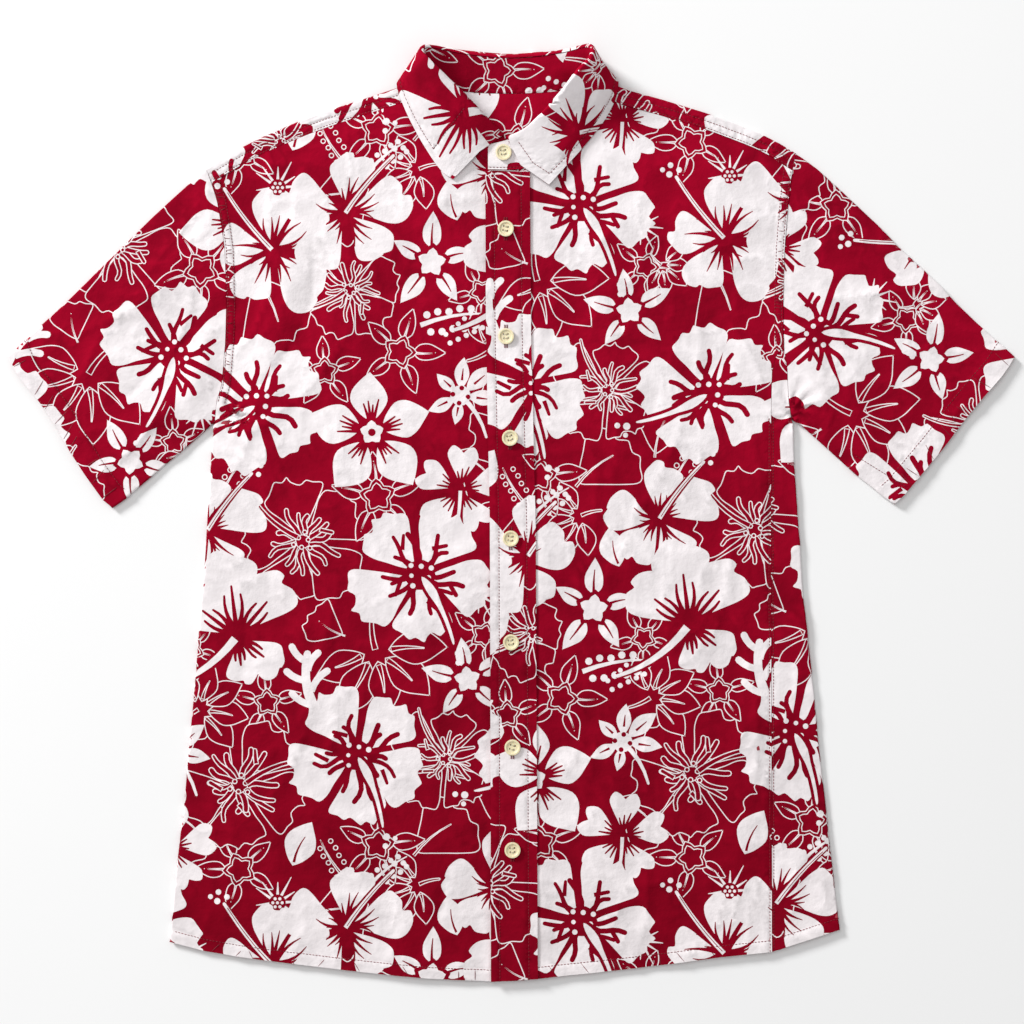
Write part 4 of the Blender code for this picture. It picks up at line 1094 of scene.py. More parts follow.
def triangulate(points, edges, borders, cloth):
    """Triangles over points in the plane that keep to the edges and fill the pattern.

    The first of the edges, as many as borders says, are the pattern's own border.
    """
    made = delaunay_2d_cdt([Vector(p) for p in points.tolist()], edges.tolist(), [], 0, 0.004, True)
    flat = np.array([tuple(p) for p in made[0]])
    faces = np.array([tuple(f) for f in made[2]])
    border = np.array([e for e, source in zip(made[1], made[4]) if source and min(source) < borders])
    span = flat[faces[:, 1:]] - flat[faces[:, :1]]
    turned = np.linalg.det(span) < 0
    faces[turned] = faces[turned][:, ::-1]
    _, _, off = cloth.find(flat[faces].mean(axis=1))
    faces = faces[off < UNTOUCHED]
    size = len(flat)
    border = np.sort(border, axis=1) @ (size, 1)
    span = np.roll(flat[faces], -1, axis=1) - flat[faces]
    height = np.abs(np.linalg.det(span[:, :2])) / np.linalg.norm(span, axis=2).max(1)
    for _ in range(12):  # slivers outside the border have an edge that is not on it
        rim = open_edges(faces)
        astray = np.sort(rim, axis=1) @ (size, 1)
        astray = astray[~np.isin(astray, border)]
        sides = np.stack([faces[:, [0, 1]], faces[:, [1, 2]], faces[:, [2, 0]]], axis=1)
        sides = np.sort(sides, axis=2) @ (size, 1)
        kept = ~(np.isin(sides, astray).any(axis=1) & (height < SLIVER))
        if kept.all():
            break
        faces, height = faces[kept], height[kept]
    used, index = np.unique(faces, return_inverse=True)
    return flat[used], index.reshape(faces.shape)


def lines_to_cut(cloth, shapes):
    """The pattern's points and those of the lines to cut into it, and the lines' edges."""
    lines = [(loop, True) for _, loop in shapes]
    for line in cloth.seams:
        line = run(line, max(2, int(length_of(line) / 2.4)))
        lines += [(shift(line, offset), False) for offset in (-STITCH_LINE, 0.0, STITCH_LINE)]
    for line, depth, _ in cloth.bands:
        for side in (-1, 1):
            for offset in (depth - STITCH_LINE, depth + STITCH_LINE):
                lines.append((shift(line, side * offset), False))
    points, edges, count = [cloth.flat], [], len(cloth.flat)
    for line, is_closed in lines:
        index = count + np.arange(len(line))
        edges.append(np.stack([index[:-1], index[1:]], axis=1))
        if is_closed:
            edges.append(np.array([[index[-1], index[0]]]))
        points.append(line)
        count += len(line)
    return np.concatenate(points), np.concatenate(edges)


def sew(cloth, both_sides=False):
    """The finished piece: print cut into its face, creases, seams, a wall and its rims."""
    low, high = cloth.flat.min(0), cloth.flat.max(0)
    shapes = print_on(cloth.name, low, high)
    pattern_rim = open_edges(cloth.faces)
    points, edges = lines_to_cut(cloth, shapes)
    edges = np.concatenate([pattern_rim, edges])
    flat, faces = triangulate(points, edges, len(pattern_rim), cloth)
    ink = ink_at(flat[faces].mean(axis=1), shapes)
    skin, normal = cloth.place(flat)
    rim = open_edges(faces)
    back_flat, back_faces, back_of = flat, faces, np.arange(len(flat))
    if not both_sides:
        border = np.unique(rim)
        inner = np.setdiff1d(np.arange(len(cloth.flat)), np.unique(pattern_rim))
        order = np.full(len(flat), -1)
        order[border] = np.arange(len(border))
        points = np.concatenate([flat[border], cloth.flat[inner]])
        points, light = triangulate(points, order[rim], len(rim), cloth)
        if abs(len(open_edges(light)) - len(rim)) < 5:  # fewer triangles, on the same border
            back_flat, back_faces = points, light
            nearest = KDTree(len(back_flat))
            for number, (x, y) in enumerate(back_flat.tolist()):
                nearest.insert((x, y, 0.0), number)
            nearest.balance()
            back_of = np.full(len(flat), -1)
            back_of[border] = [nearest.find((x, y, 0.0))[1] for x, y in flat[border].tolist()]
    lining, back_normal = cloth.place(back_flat)
    corner, share, _ = cloth.find(back_flat)
    lining = lining - cloth.normals(corner, share)[1] * cloth.wall
    skin[:, 2] = np.maximum(skin[:, 2], 0.0)
    lining[:, 2] = np.maximum(lining[:, 2], 0.05)

    offset = len(flat)
    kept = (back_of[rim] >= 0).all(axis=1)
    a, b = rim[kept, 0], rim[kept, 1]
    wall = np.stack([b, a, back_of[a] + offset, back_of[b] + offset], axis=1)
    mesh = bpy.data.meshes.new(cloth.name)
    all_points = np.concatenate([skin, lining]) - CENTRE
    back = back_faces[:, ::-1] + offset
    mesh.from_pydata(
        (all_points * MM).tolist(), [], faces.tolist() + back.tolist() + wall.tolist()
    )
    uv = mesh.uv_layers.new(name="cloth")
    corners = np.concatenate([faces.ravel(), back.ravel(), wall.ravel()])
    all_flat = np.concatenate([flat, back_flat]) * MM
    uv.data.foreach_set("uv", all_flat[corners].ravel().astype(np.float32))
    reverse = ink if both_sides else np.full(len(back), 2)
    slots = np.concatenate([ink, reverse, np.full(len(wall), 0 if both_sides else 2)])
    mesh.polygons.foreach_set("material_index", slots.astype(np.int32))
    # Painted shade: how deep each point lies in its crumples, puckers and gathers, for the finish to
    # darken.
    hollow_shade = mesh.attributes.new("hollow_shade", "FLOAT", "POINT")
    shade_depth = np.concatenate([cloth.hollow_shade(flat), cloth.hollow_shade(back_flat)])
    hollow_shade.data.foreach_set("value", shade_depth.astype(np.float32))
    mesh.update()
    mesh.validate(verbose=False)
    directions = np.concatenate([normal, -back_normal])
    loops = directions[corners]
    first = len(faces) * 3 + len(back) * 3
    side = np.cross(all_points[b] - all_points[a], normal[a])
    loops[first:] = np.repeat(unit(side), 4, axis=0)
    mesh.polygons.foreach_set("use_smooth", np.ones(len(mesh.polygons), bool))
    if len(mesh.loops) == len(loops):
        mesh.normals_split_custom_set(loops.tolist())
    made = linked(f"{cloth.name}_cloth", mesh)
    for finish in (cotton("crimson_ground"), cotton("white_print"), cotton("cotton_reverse")):
        mesh.materials.append(finish)
    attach(made, "root")
    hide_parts(cloth.name)
    width, length = cloth.cut_size()
    area = cloth.area.sum() * MM * MM


def linked(name, data):
    """A new object in the scene."""
    made = bpy.data.objects.new(name, data)
    bpy.context.scene.collection.objects.link(made)
    return made


def length_of(line):
    return float(np.linalg.norm(np.diff(line, axis=0), axis=1).sum())


# ---------------------------------------------------------------- thread
def add_thread_bars(cloth, first, last, low, high, stitches):
    """Adds bars of thread between places of the pattern, at a height at their ends and middles:
    stitches, and the dark bars that paint the shade in seam puckers.
    """
    start, up = cloth.place(first, low)
    stop, _ = cloth.place(last, low)
    middle, _ = cloth.place((first + last) / 2, high)
    stitches.append((start, middle, stop, up))


def on_cloth(cloth, first, last):
    """Those pairs of places that both lie on the pattern."""
    kept = (cloth.find(first)[2] < 0.01) & (cloth.find(last)[2] < 0.01)
    return first[kept], last[kept]


def thread_along(cloth, line, stitches):
    """Adds a row of stitches along a line of the pattern."""
    sizes = bpy.context.scene.shirt_sizes
    pitch = (sizes.stitch + sizes.stitch_gap) / MM
    count = max(1, int(length_of(line) / pitch))
    ends = run(line, count * 6 + 1)
    first, last = on_cloth(cloth, ends[:-1:6], ends[4::6][:count])
    if len(first):
        add_thread_bars(cloth, first, last, 0.12, 0.24, stitches)


def pucker_shade_bars_along(cloth, line, near, far, pitch, stitches):
    """Short dark bars of thread across a felled seam, where its puckers stand, unevenly spaced: painted
    shade of the puckers' creases, drawn as thread, with a little of the seam's thread that shows
    through.
    """
    chance = np.random.default_rng(int(length_of(line)))
    count = int(length_of(line) / pitch)
    first, last = run(shift(line, near), count * 4), run(shift(line, far), count * 4)
    rows = np.cumsum(chance.integers(2, 7, count))
    rows = rows[rows < count * 4 - 3]
    first, last = first[rows], last[rows + chance.integers(-1, 2, len(rows))]
    last = first + (last - first) * chance.uniform(0.6, 1.0, len(rows))[:, None]
    first, last = on_cloth(cloth, first, last)
    add_thread_bars(cloth, first, last, 0.0, 0.1, stitches)


def thread(name, stitches, finish_name, radius=None):
    """One mesh of all the stitches: each a short round bar whose ends dip into the cloth."""
    radius = radius or bpy.context.scene.shirt_sizes.thread / MM
    start, middle, stop, up = (np.concatenate(parts) for parts in zip(*stitches))
    along = unit(stop - start)
    across = unit(np.cross(up, along))
    up = np.cross(along, across)
    rings = []
    for place, size in (
        (start, 0.55), (start * 0.75 + stop * 0.25, 1.0), (middle, 1.1),
        (start * 0.25 + stop * 0.75, 1.0), (stop, 0.55),
    ):
        for turn in np.radians([0.0, 72.0, 144.0, 216.0, 288.0]):
            rings.append(place + radius * size * (across * math.cos(turn) + up * math.sin(turn)))
    tips = [start - along * 0.25 - up * radius, stop + along * 0.25 - up * radius]
    points = np.stack(rings + tips, axis=1)
    points[..., 2] += np.maximum(0.03 - points[..., 2].min(1), 0.0)[:, None]  # none in the floor
    sides, count, last = 5, len(rings) + 2, len(rings) - 5
    shell = []
    for ring in range(0, last, sides):
        for k in range(sides):
            n = (k + 1) % sides
            shell.append([ring + k, ring + n, ring + sides + n, ring + sides + k])
    shell += [[count - 2, (k + 1) % sides, k] for k in range(sides)]
    shell += [[count - 1, last + k, last + (k + 1) % sides] for k in range(sides)]
    faces = [[count * number + k for k in face] for number in range(len(points)) for face in shell]
    mesh = bpy.data.meshes.new(name)
    mesh.from_pydata(((points.reshape(-1, 3) - CENTRE) * MM).tolist(), [], faces)
    mesh.materials.append(plain(finish_name))
    mesh.polygons.foreach_set("use_smooth", np.ones(len(mesh.polygons), bool))
    mesh.update()
    made = linked(name, mesh)
    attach(made, "root")


# ---------------------------------------------------------------- the forms of the pieces
ACROSS, ALONG = 6, 5  # parts that each stretch of an edge is cut into


def mirror(points):
    return points * (-1.0, 1.0)


def reflected(plan, line, reach, side):
    """The plan turned over the straight line between a line's ends, and moved out by reach.

    Where the line bows out beyond that straight line, the plan moves out enough to clear it.
    """
    along = unit(line[-1] - line[0])
    out = side * np.array([along[1], -along[0]])
    bow = ((line - line[0]) @ out).max()
    distance = (plan - line[0]) @ out
    return plan + (max(reach, 0.45 * reach + 2 * bow) - 2 * distance[..., None]) * out


def front_plan(inner, outer, top):
    """A front's hem and its grid in plan; the top runs from the armhole to the neck."""
    top = top[::-1]
    top[0], top[-1] = inner[-1], outer[-1]
    hem = finer(hem_row(inner[0], outer[0]), ACROSS)
    return hem, coons(hem, finer(top, ACROSS), finer(inner, ALONG), finer(outer, ALONG))


def front_left_form():
    edge = [(x + 1.6, y) for x, y in BAND_EDGE_FRONT]
    corner = np.array([-20.6, FRONT_NECK_Y])
    seam = shift(side_seam, SEAM / 2)
    seam[0, 1] = hem_y(seam[0, 0])
    outer = np.concatenate([
        seam, shift(SIDE_SEAM_LEFT_TOP, SEAM / 2)[1:],
        [armhole_left[SEAM_MEETS] + (-0.4, 0.5)], armhole_left[SEAM_MEETS + 1 : SEAM_ROW],
        [shift(forward_left, SEAM)[0]],
    ])
    neck = np.concatenate([[corner], neck_line[SEAM_NECK_LEFT:][::-1]])
    neck[-1] = neck[-1] - (0.0, SEAM)
    inner = join(
        run(cut_y(edge, -404.9, 84.4), LOW_ROWS),
        run([(edge[2][0] + 0.3, 84.4), edge[2], corner], len(outer) - LOW_ROWS - len(neck) + 2),
        neck,
    )
    inner[0, 1] = hem_y(inner[0, 0])
    hem, plan = front_plan(inner, outer, shift(forward_left, SEAM))
    made = Cloth("front_left", [lay(plan, over_left_front)], 11, 1.0)
    hole = finer(armhole_left[SEAM_MEETS : SEAM_ROW + 1], 2)
    made.bands = [(hem, HEM_DEPTH, 0.45), (hole, ARMHOLE_BAND, 0.5)]
    made.seams = [
        shift(hem, HEM_DEPTH - 0.6), shift(hole, 1.3), shift(hole, ARMHOLE_BAND - 0.5),
        shift(seam, 1.6),
    ]
    # Dark thread bars of painted shade in the puckers of the armhole and hem seams.
    made.pucker_shade_bars = [(hole, 1.0, ARMHOLE_BAND, 6.0), (hem, 0.6, HEM_DEPTH, 26.0)]
    return made


def front_right_form():
    corner = np.array([UNDERLAP_X, FRONT_NECK_Y])
    outer = np.concatenate([
        side_right, armhole_right[1:SEAM_ROW], [shift(forward_right, -SEAM)[0]],
    ])
    neck = np.concatenate([[corner, (1.0, FRONT_NECK_Y)], neck_line[: SEAM_NECK_RIGHT + 1]])
    neck[-1] = neck[-1] - (0.0, SEAM)
    inner = join(
        run([(UNDERLAP_X, hem_y(UNDERLAP_X)), (UNDERLAP_X, 82.0)], LOW_ROWS),
        run([(UNDERLAP_X, 82.0), corner], len(outer) - LOW_ROWS - len(neck) + 2),
        neck,
    )
    hem, plan = front_plan(inner, outer, shift(forward_right, -SEAM))
    side = finer(side_right, ALONG)
    out = outward_of(side, 1, last=UNDERARM_RIGHT)
    turned = side + out * ROUND_ROLL
    under_plan = strip(side, finer(side_seam_under(0.0), ALONG), 6)
    made = Cloth("front_right", [
        lay(plan, over_right_front),
        roll(side, out, side, turned),
        lay(under_plan, under, unrolled(side, out, under_plan), 1.0),
    ], 11, 1.0)
    hole = finer(armhole_right[1 : SEAM_ROW + 1], 2)
    made.bands = [(hem, HEM_DEPTH, 0.45), (hole, ARMHOLE_BAND, 0.5)]
    made.seams = [shift(hem, 0.6 - HEM_DEPTH), shift(hole, -1.3), shift(hole, 0.5 - ARMHOLE_BAND)]
    # Dark thread bars of painted shade in the puckers of the armhole and hem seams.
    made.pucker_shade_bars = [(hole, -1.0, -ARMHOLE_BAND, 6.0), (hem, -0.6, -HEM_DEPTH, 26.0)]
    return made


def side_seam_under(gap):
    """The side seam at the wearer's right, on the lower layer under the roll."""
    wrap = 4.0 + 18.0 * step((70.0 - side_right[:, 1]) / 90.0)
    line = side_right + np.stack([wrap + gap, np.zeros(LOW_ROWS)], axis=1)
    line[0, 1] = hem_y(line[0, 0])
    line[-1] = side_right[-1] - UNDERARM_RIGHT * (4.0 + gap)
    return line


def back_form():
    seam_under = side_seam_under(SEAM)
    right_edge = np.concatenate([seam_under, armhole_right[1 : PANEL_TOP + 1]])
    left_edge = np.concatenate([side_left, armhole_left[1 : PANEL_TOP + 1]])
    right_edge[-1, 1] -= SEAM
    left_edge[-1, 1] -= SEAM
    top = np.linspace(right_edge[-1], left_edge[-1], COLUMNS)
    hem = finer(hem_row(right_edge[0], left_edge[0]), 10)
    plan = coons(hem, finer(top, 10), finer(right_edge, ALONG), finer(left_edge, ALONG))
    side = finer(side_left, ALONG)
    out = outward_of(side, -1, last=UNDERARM_LEFT)
    seam = shift(side_seam, -SEAM / 2)
    seam[0, 1] = hem_y(seam[0, 0])
    seam_top = shift(SIDE_SEAM_LEFT_TOP, -SEAM / 2)
    seam_top[0] = seam[-1]
    on_top = strip(side, finer(seam, ALONG), 6)
    by_hole = strip(finer(armhole_left[: SEAM_MEETS + 1], ALONG), finer(seam_top, ALONG), 6)
    flat_under = reflected(plan, side_left, ROUND_ROLL, 1)
    made = Cloth("back", [
        lay(plan, under, flat_under, 1.0),
        roll(side, out, side, reflected(side, side_left, ROUND_ROLL, 1)),
        lay(on_top, over),
        lay(by_hole, over),
    ], 11, 1.0, lambda x, y: crease_rise(np.where(x > ROLLED_X, 2 * MIRROR_X - x, x), y))
    round_hem = np.linspace(on_top[0][0], flat_under[0][-1], 3)
    hem_flat = join(on_top[0][::-1], round_hem, flat_under[0][::-1])
    made.bands = [(hem_flat, HEM_DEPTH, 0.45)]
    made.seams = [shift(hem_flat, HEM_DEPTH - 0.6), shift(seam, -1.6)]
    return made


def yoke_form():
    """Lower layer, the rolls along both shoulders and the strips in front of them."""
    patches, neck_edges, seams = [], [], []
    for armhole, shoulder, forward, neck, seam_neck, side, mitre in (
        (armhole_right, shoulder_right, forward_right, NECK_RIGHT, SEAM_NECK_RIGHT, 1,
         SHOULDER_MITRE_RIGHT),
        (armhole_left, shoulder_left, forward_left, NECK_LEFT, SEAM_NECK_LEFT, -1,
         SHOULDER_MITRE_LEFT),
    ):
        hole = armhole[PANEL_TOP:]
        neck_edge = run([(shoulder[-1][0], YOKE_SEAM_Y), shoulder[-1]], len(hole))
        neck_edges.append(neck_edge)
        bottom = np.linspace(hole[0], neck_edge[0], COLUMNS)
        plan = coons(finer(bottom, 5), finer(shoulder, 5), finer(hole, 3), finer(neck_edge, 3))
        patches.append(lay(plan, under, mirror(plan), 1.0))
        edge = finer(shoulder, 5)
        out = outward_of(edge, side, first=mitre)
        turned = mirror(edge) + mirror(out) * ROUND_ROLL
        patches.append(roll(edge, out, turned, mirror(edge)))
        by_collar = neck_line[neck:seam_neck:-1] if side > 0 else neck_line[neck:seam_neck]
        by_collar = run(np.concatenate([by_collar, [forward[-1]]]), len(armhole) - SEAM_ROW)
        by_armhole = armhole[SEAM_ROW:][::-1]
        plan = coons(edge, finer(forward, 5), finer(by_armhole, 2), finer(by_collar, 2))
        plan = plan.transpose(1, 0, 2)
        flat = unrolled(mirror(edge), mirror(out), mirror(plan))
        patches.append(lay(plan, over, flat))
        for inwards in (1.4, 7.0):
            seams.append(shift(flat[:, -1], side * inwards))
    neck = finer(neck_line[NECK_RIGHT : NECK_LEFT + 1], 3)
    bottom = np.linspace(neck_edges[0][0], neck_edges[1][0], len(neck))
    plan = coons(bottom, neck, finer(neck_edges[0], 3), finer(neck_edges[1], 3))
    patches.append(lay(plan, under, mirror(plan), 1.0))
    made = Cloth("yoke", patches, 23, 0.7, wall=1.0)
    made.seams = seams
    return made


def sleeve_form(name, armhole, top_edge, under_edge, cuff, side, low_mitre, high_mitre):
    """A tube laid flat: two layers and a roll along the shoulder side and the underarm."""
    stations, columns = 12, len(armhole)
    hole = shift(armhole, side * SEAM)
    low = run(shift(under_edge, -side * HALF), stations)
    high = run(shift(top_edge, side * HALF), stations)
    low[0], high[0] = hole[0], hole[-1]
    end = run(cuff, columns)
    end[0], end[-1] = low[-1], high[-1]
    low, high = finer(low, ALONG), finer(high, ALONG)
    plan = coons(finer(hole, 3), finer(end, 3), low, high)
    low_out = outward_of(low, side, first=low_mitre)
    high_out = outward_of(high, -side, first=high_mitre)
    flat_under = reflected(plan, high, ROUND_ROLL, side)
    made = Cloth(name, [
        lay(plan, over),
        roll(low, low_out, low, low + low_out * ROUND_ROLL),
        roll(high, high_out, high, reflected(high, high, ROUND_ROLL, side)),
        lay(plan, under, flat_under, 1.0),
    ], 11, 1.15)
    rim = join(plan[-1], np.linspace(plan[-1][-1], flat_under[-1][-1], 3), flat_under[-1][::-1])
    made.bands = [(rim, CUFF_DEPTH, 0.5)]
    made.seams = [shift(rim, -side * (CUFF_DEPTH - 0.7))]
    # Dark thread bars of painted shade in the puckers of the cuff's seam.
    made.pucker_shade_bars = [(rim, -side * 0.8, -side * CUFF_DEPTH, 19.0)]
    if side < 0:
        made.seams.append(np.array(UNDERARM_SEAM_LEFT))
    return made


def along_rows(sections):
    """Running length along each section of a grid of points, from its first column."""
    gaps = np.linalg.norm(np.diff(sections, axis=1), axis=2)
    return np.concatenate([np.zeros((len(sections), 1)), np.cumsum(gaps, axis=1)], axis=1)


def round_form(name, sections, seed, soft, side, wall):
    """A piece that stands round the neck, from sections through the middle of its wall."""
    down = along_rows(sections)
    round_neck = along_rows(sections[:, 2:3].transpose(1, 0, 2))[0]
    round_neck = side * (round_neck - round_neck[len(round_neck) // 2])
    flat = np.dstack([np.repeat(round_neck[:, None], sections.shape[1], axis=1), down])
    made = Cloth(
        name, [(sections, flat, np.zeros(flat.shape[:2]))], seed, soft, lambda x, y: 0.0 * x, wall
    )
    normal = unit(np.cross(made.tangents[:, 0], made.tangents[:, 1]))
    made.points = made.points + normal * wall / 2
    made.ends = flat
    return made


def stand_form():
    foot = np.concatenate([[UNDER_TAB[:3]], collar_points("foot"), [BUTTON_TAB[:3]]])
    top = np.concatenate([[UNDER_TAB[3:]], collar_points("top"), [BUTTON_TAB[3:]]])
    sections = strip(rounded(foot, 5), rounded(top, 5), 9)
    made = round_form("collar_stand", sections, 31, 0.4, -1, 1.0)
    made.seams = [made.ends[:, 0] + (0.0, 1.8)]
    return made


def leaf_sections():
    """The leaf's path at each section: over the top of the stand, to the knee, to the edge."""
    foot, top = collar_points("foot"), collar_points("top")
    knee, edge = collar_points("knee"), collar_points("edge")
    lies_under = edge[:, 2:3] < 1.0
    on_front = (edge[:, 2] > 4.0) & (edge[:, 1] < 368.0)
    rest = over_left_front(edge[:, 0], edge[:, 1]) + LEAF_CLEAR
    edge[:, 2] = np.where(on_front, np.maximum(edge[:, 2], rest), edge[:, 2])
    rise = unit(top - foot)
    out = unit(np.cross(rise, unit(np.gradient(top, axis=0))))
    start = top + rise * 0.5
    path = [start]
    for turn in np.radians([20.0, 55.0, 90.0, 125.0, 160.0]):
        up, aside = math.sin(turn), 1 - math.cos(turn)
        path.append(start + rise * LEAF_BEND * up + out * LEAF_BEND * aside)
    last = path[-1]
    for t in (0.3, 0.62, 0.86):
        path.append(last * (1 - t) + knee * t)
    path.append(knee)
    inward = edge - knee
    inward[:, 2] = 0.0
    low = knee + unit(inward) * 1.2
    low[:, 2] = LEAF_LOW
    path.append(np.where(lies_under, low, knee * 0.7 + edge * 0.3))
    path.append(np.where(lies_under, low * 0.5 + edge * 0.5, knee * 0.35 + edge * 0.65))
    path.append(edge)
    return np.stack(path, axis=1)


def leaf_form():
    sections = rounded(leaf_sections(), 5)
    sections = rounded(sections.transpose(1, 0, 2), 3).transpose(1, 0, 2)
    made = round_form("collar", sections, 37, 0.45, 1, 1.0)
    flat = made.ends
    edge = flat[:, -1] - (0.0, 6.0)
    inside_ends = np.abs(edge[:, 0]) < np.abs(edge[[0, -1], 0]).min() - 6.0
    outer = edge[inside_ends]
    made.seams = [outer] + [np.stack([corner, (corner[0], 12.0)]) for corner in outer[[0, -1]]]
    return made


def placket_form():
    rows = LOW_ROWS + 8
    front, sewn = run(BAND_EDGE_FRONT, rows), run(BAND_EDGE_SEWN, rows)
    front[0, 1], sewn[0, 1] = hem_y(front[0, 0]), hem_y(sewn[0, 0])
    plan = strip(finer(front, 6), finer(sewn, 6), 11)
    made = Cloth("placket", [lay(plan, band_skin)], 11, 0.75, wall=0.8)
    made.seams = [shift(front, -7.8), shift(sewn, 7.8)]
    made.bands = [(plan[0], HEM_DEPTH, 0.3)]
    return made


# ---------------------------------------------------------------- finishes
class Value:
    """An output of a node, so that the sums of a finish read as sums."""

    def __init__(self, tree, socket):
        self.tree, self.socket = tree, socket

    def node(self, kind, settings=None, inputs=None, output=0):
        """A new node of the finish, with its settings first and then its sockets."""
        made = self.tree.nodes.new(kind)
        for name, value in (settings or {}).items():
            setattr(made, name, value)
        for name, value in (inputs or {}).items():
            if isinstance(value, Value):
                self.tree.links.new(value.socket, made.inputs[name])
            else:
                made.inputs[name].default_value = value
        return Value(self.tree, made.outputs[output])

    def sum(self, operation, first, second):
        return self.node("ShaderNodeMath", {"operation": operation}, {0: first, 1: second})

    def __add__(self, other):
        return self.sum("ADD", self, other)

    __radd__ = __add__

    def __mul__(self, other):
        return self.sum("MULTIPLY", self, other)

    __rmul__ = __mul__

    def __sub__(self, other):
        return self.sum("SUBTRACT", self, other)

    def __rsub__(self, other):
        return self.sum("SUBTRACT", other, self)

    def size(self):
        return self.sum("ABSOLUTE", self, 0.0)

    def clipped(self):
        """The value kept between 0 and 1."""
        settings = {"operation": "ADD", "use_clamp": True}
        return self.node("ShaderNodeMath", settings, {0: self, 1: 0.0})

    def blend(self, first, second):
        """A colour between two colours, by this value."""
        settings = {"data_type": "RGBA"}
        return self.node("ShaderNodeMix", settings, {0: self, 6: first, 7: second}, 2)

    def noise(self, scale, detail=2.0, rough=0.5):
        """Noise over this value's places."""
        inputs = {"Vector": self, "Scale": scale, "Detail": detail, "Roughness": rough}
        return self.node("ShaderNodeTexNoise", None, inputs)

    def bump(self, strength, distance):
        """This value as relief."""
        inputs = {"Strength": strength, "Distance": distance, "Height": self}
        return self.node("ShaderNodeBump", None, inputs)

    def feed(self, shader, name):
        self.tree.links.new(self.socket, shader.inputs[name])


def finish(name):
    """A new material, its shader and a place on the piece; None for one that is made."""
    made = bpy.data.materials.get(name)
    if made:
        return made, None, None
    made = bpy.data.materials.new(name)
    made.use_nodes = True
    shader = made.node_tree.nodes["Principled BSDF"]
    return made, shader, Value(made.node_tree, None).node("ShaderNodeTexCoord", None, None, 3)


def colour(value, share=1.0):
    """A colour for a socket, dimmed to a share of its own light."""
    return (*[c * share for c in value], 1.0)


def dress(shader, **values):
    """Plain values for the shader's sockets, whose names are written with underscores."""
    for name, value in values.items():
        shader.inputs[name.replace("_", " ")].default_value = value


def cotton(name):
    """Printed cotton: plain weave, small crumples, and painted shade that deepens the colour to the hem
    and darkens its hollows and crease lines.
    """
    made, shader, place = finish(name)
    if not shader:
        return made
    colours = bpy.context.scene.shirt_colours
    # Each finish: its colour at the collar, its colour in painted shade at the hem, and how far the
    # painted shade in hollows and crease lines dims the latter.
    top, foot, share = {
        "crimson_ground": (colours.ground, colours.ground_shaded, 0.42),
        "white_print": (colours.white, colours.white_shaded, 0.72),
        "cotton_reverse": (colours.reverse, colours.reverse, 0.6),
    }[name]
    pattern = place.node("ShaderNodeUVMap", {"uv_map": "cloth"})
    # Painted shade: the colour darkens from the collar to the hem, by height in Y.
    height = place.node("ShaderNodeSeparateXYZ", None, {"Vector": place}, 1)
    down = (0.55 - height * 1.25).clipped()
    body = down.blend(colour(top), colour(foot))
    # Painted shade in the hollows of crumples, puckers and gathers.
    shade_depth = place.node("ShaderNodeAttribute", {"attribute_name": "hollow_shade"}, None, 2)
    body = (shade_depth * 0.5).clipped().blend(body, colour(foot, share))
    # The colour a little darker in random soft patches.
    random_mottle = pattern.noise(22.0, 3.0)
    body = (random_mottle * 0.22 - 0.02).clipped().blend(body, colour(top, 0.78))
    # Painted shade along thin crease lines, which the relief below also presses in.
    lines = (1.0 - (pattern.noise(40.0, 1.5, 0.6) - 0.5).size() * 11.0).clipped()
    lines = lines * (pattern.noise(31.0, 1.0) * 3.0 - 1.1).clipped()
    body = (lines * 0.3).clipped().blend(body, colour(foot, share))
    fine = pattern.noise(900.0, 1.0)
    body = (fine * 0.16).clipped().blend(body, colour(top, 0.8))
    weave = []
    for direction in "XY":
        inputs = {"Vector": pattern, "Scale": 430.0}
        weave.append(pattern.node("ShaderNodeTexWave", {"bands_direction": direction}, inputs))
    relief = pattern.noise(95.0, 3.0, 0.55) * 0.9 + pattern.noise(260.0, 2.0) * 0.22
    relief = relief + weave[0] * 0.03 + weave[1] * 0.03 - lines * 0.1
    body.feed(shader, "Base Color")
    (0.86 + fine * 0.1).feed(shader, "Roughness")
    relief.bump(0.7, 0.0012).feed(shader, "Normal")
    dress(shader, Specular_IOR_Level=0.04)
    made.diffuse_color = colour(top)
    return made


def plain(name):
    """Sewing thread: twisted, a little glossier than the cloth."""
    made, shader, place = finish(name)
    if not shader:
        return made
    colours = bpy.context.scene.shirt_colours
    base = {"crimson_thread": colours.thread, "button_thread": colours.button_thread}[name]
    twist = place.noise(2600.0, 1.0)
    twist.blend(colour(base), colour(base, 0.6)).feed(shader, "Base Color")
    twist.bump(0.4, 0.0001).feed(shader, "Normal")
    dress(shader, Roughness=0.6)
    made.diffuse_color = colour(base)
    return made


def ivory():
    """Buttons: a pale horn-like plastic with soft streaks."""
    made, shader, place = finish("ivory_button")
    if not shader:
        return made
    base = bpy.context.scene.shirt_colours.button
    inputs = {"Vector": place, "Scale": 120.0, "Distortion": 6.0, "Detail": 3.0, "Detail Scale": 1.4}
    streak = place.node("ShaderNodeTexWave", None, inputs)
    warm = colour([base[0] * 0.86, base[1] * 0.78, base[2] * 0.62])
    body = (streak * 0.35).clipped().blend(colour(base), warm)
    cloud = place.noise(420.0, 2.0)
    body = (cloud * 0.4 - 0.1).clipped().blend(body, colour([min(1.0, c * 1.12) for c in base]))
    body.feed(shader, "Base Color")
    (0.24 + cloud * 0.16).feed(shader, "Roughness")
    (streak + cloud * 0.5).bump(0.15, 0.0001).feed(shader, "Normal")
    dress(shader, Subsurface_Weight=0.08, Subsurface_Scale=0.002, Coat_Weight=0.25)
    made.diffuse_color = colour(base)
    return made


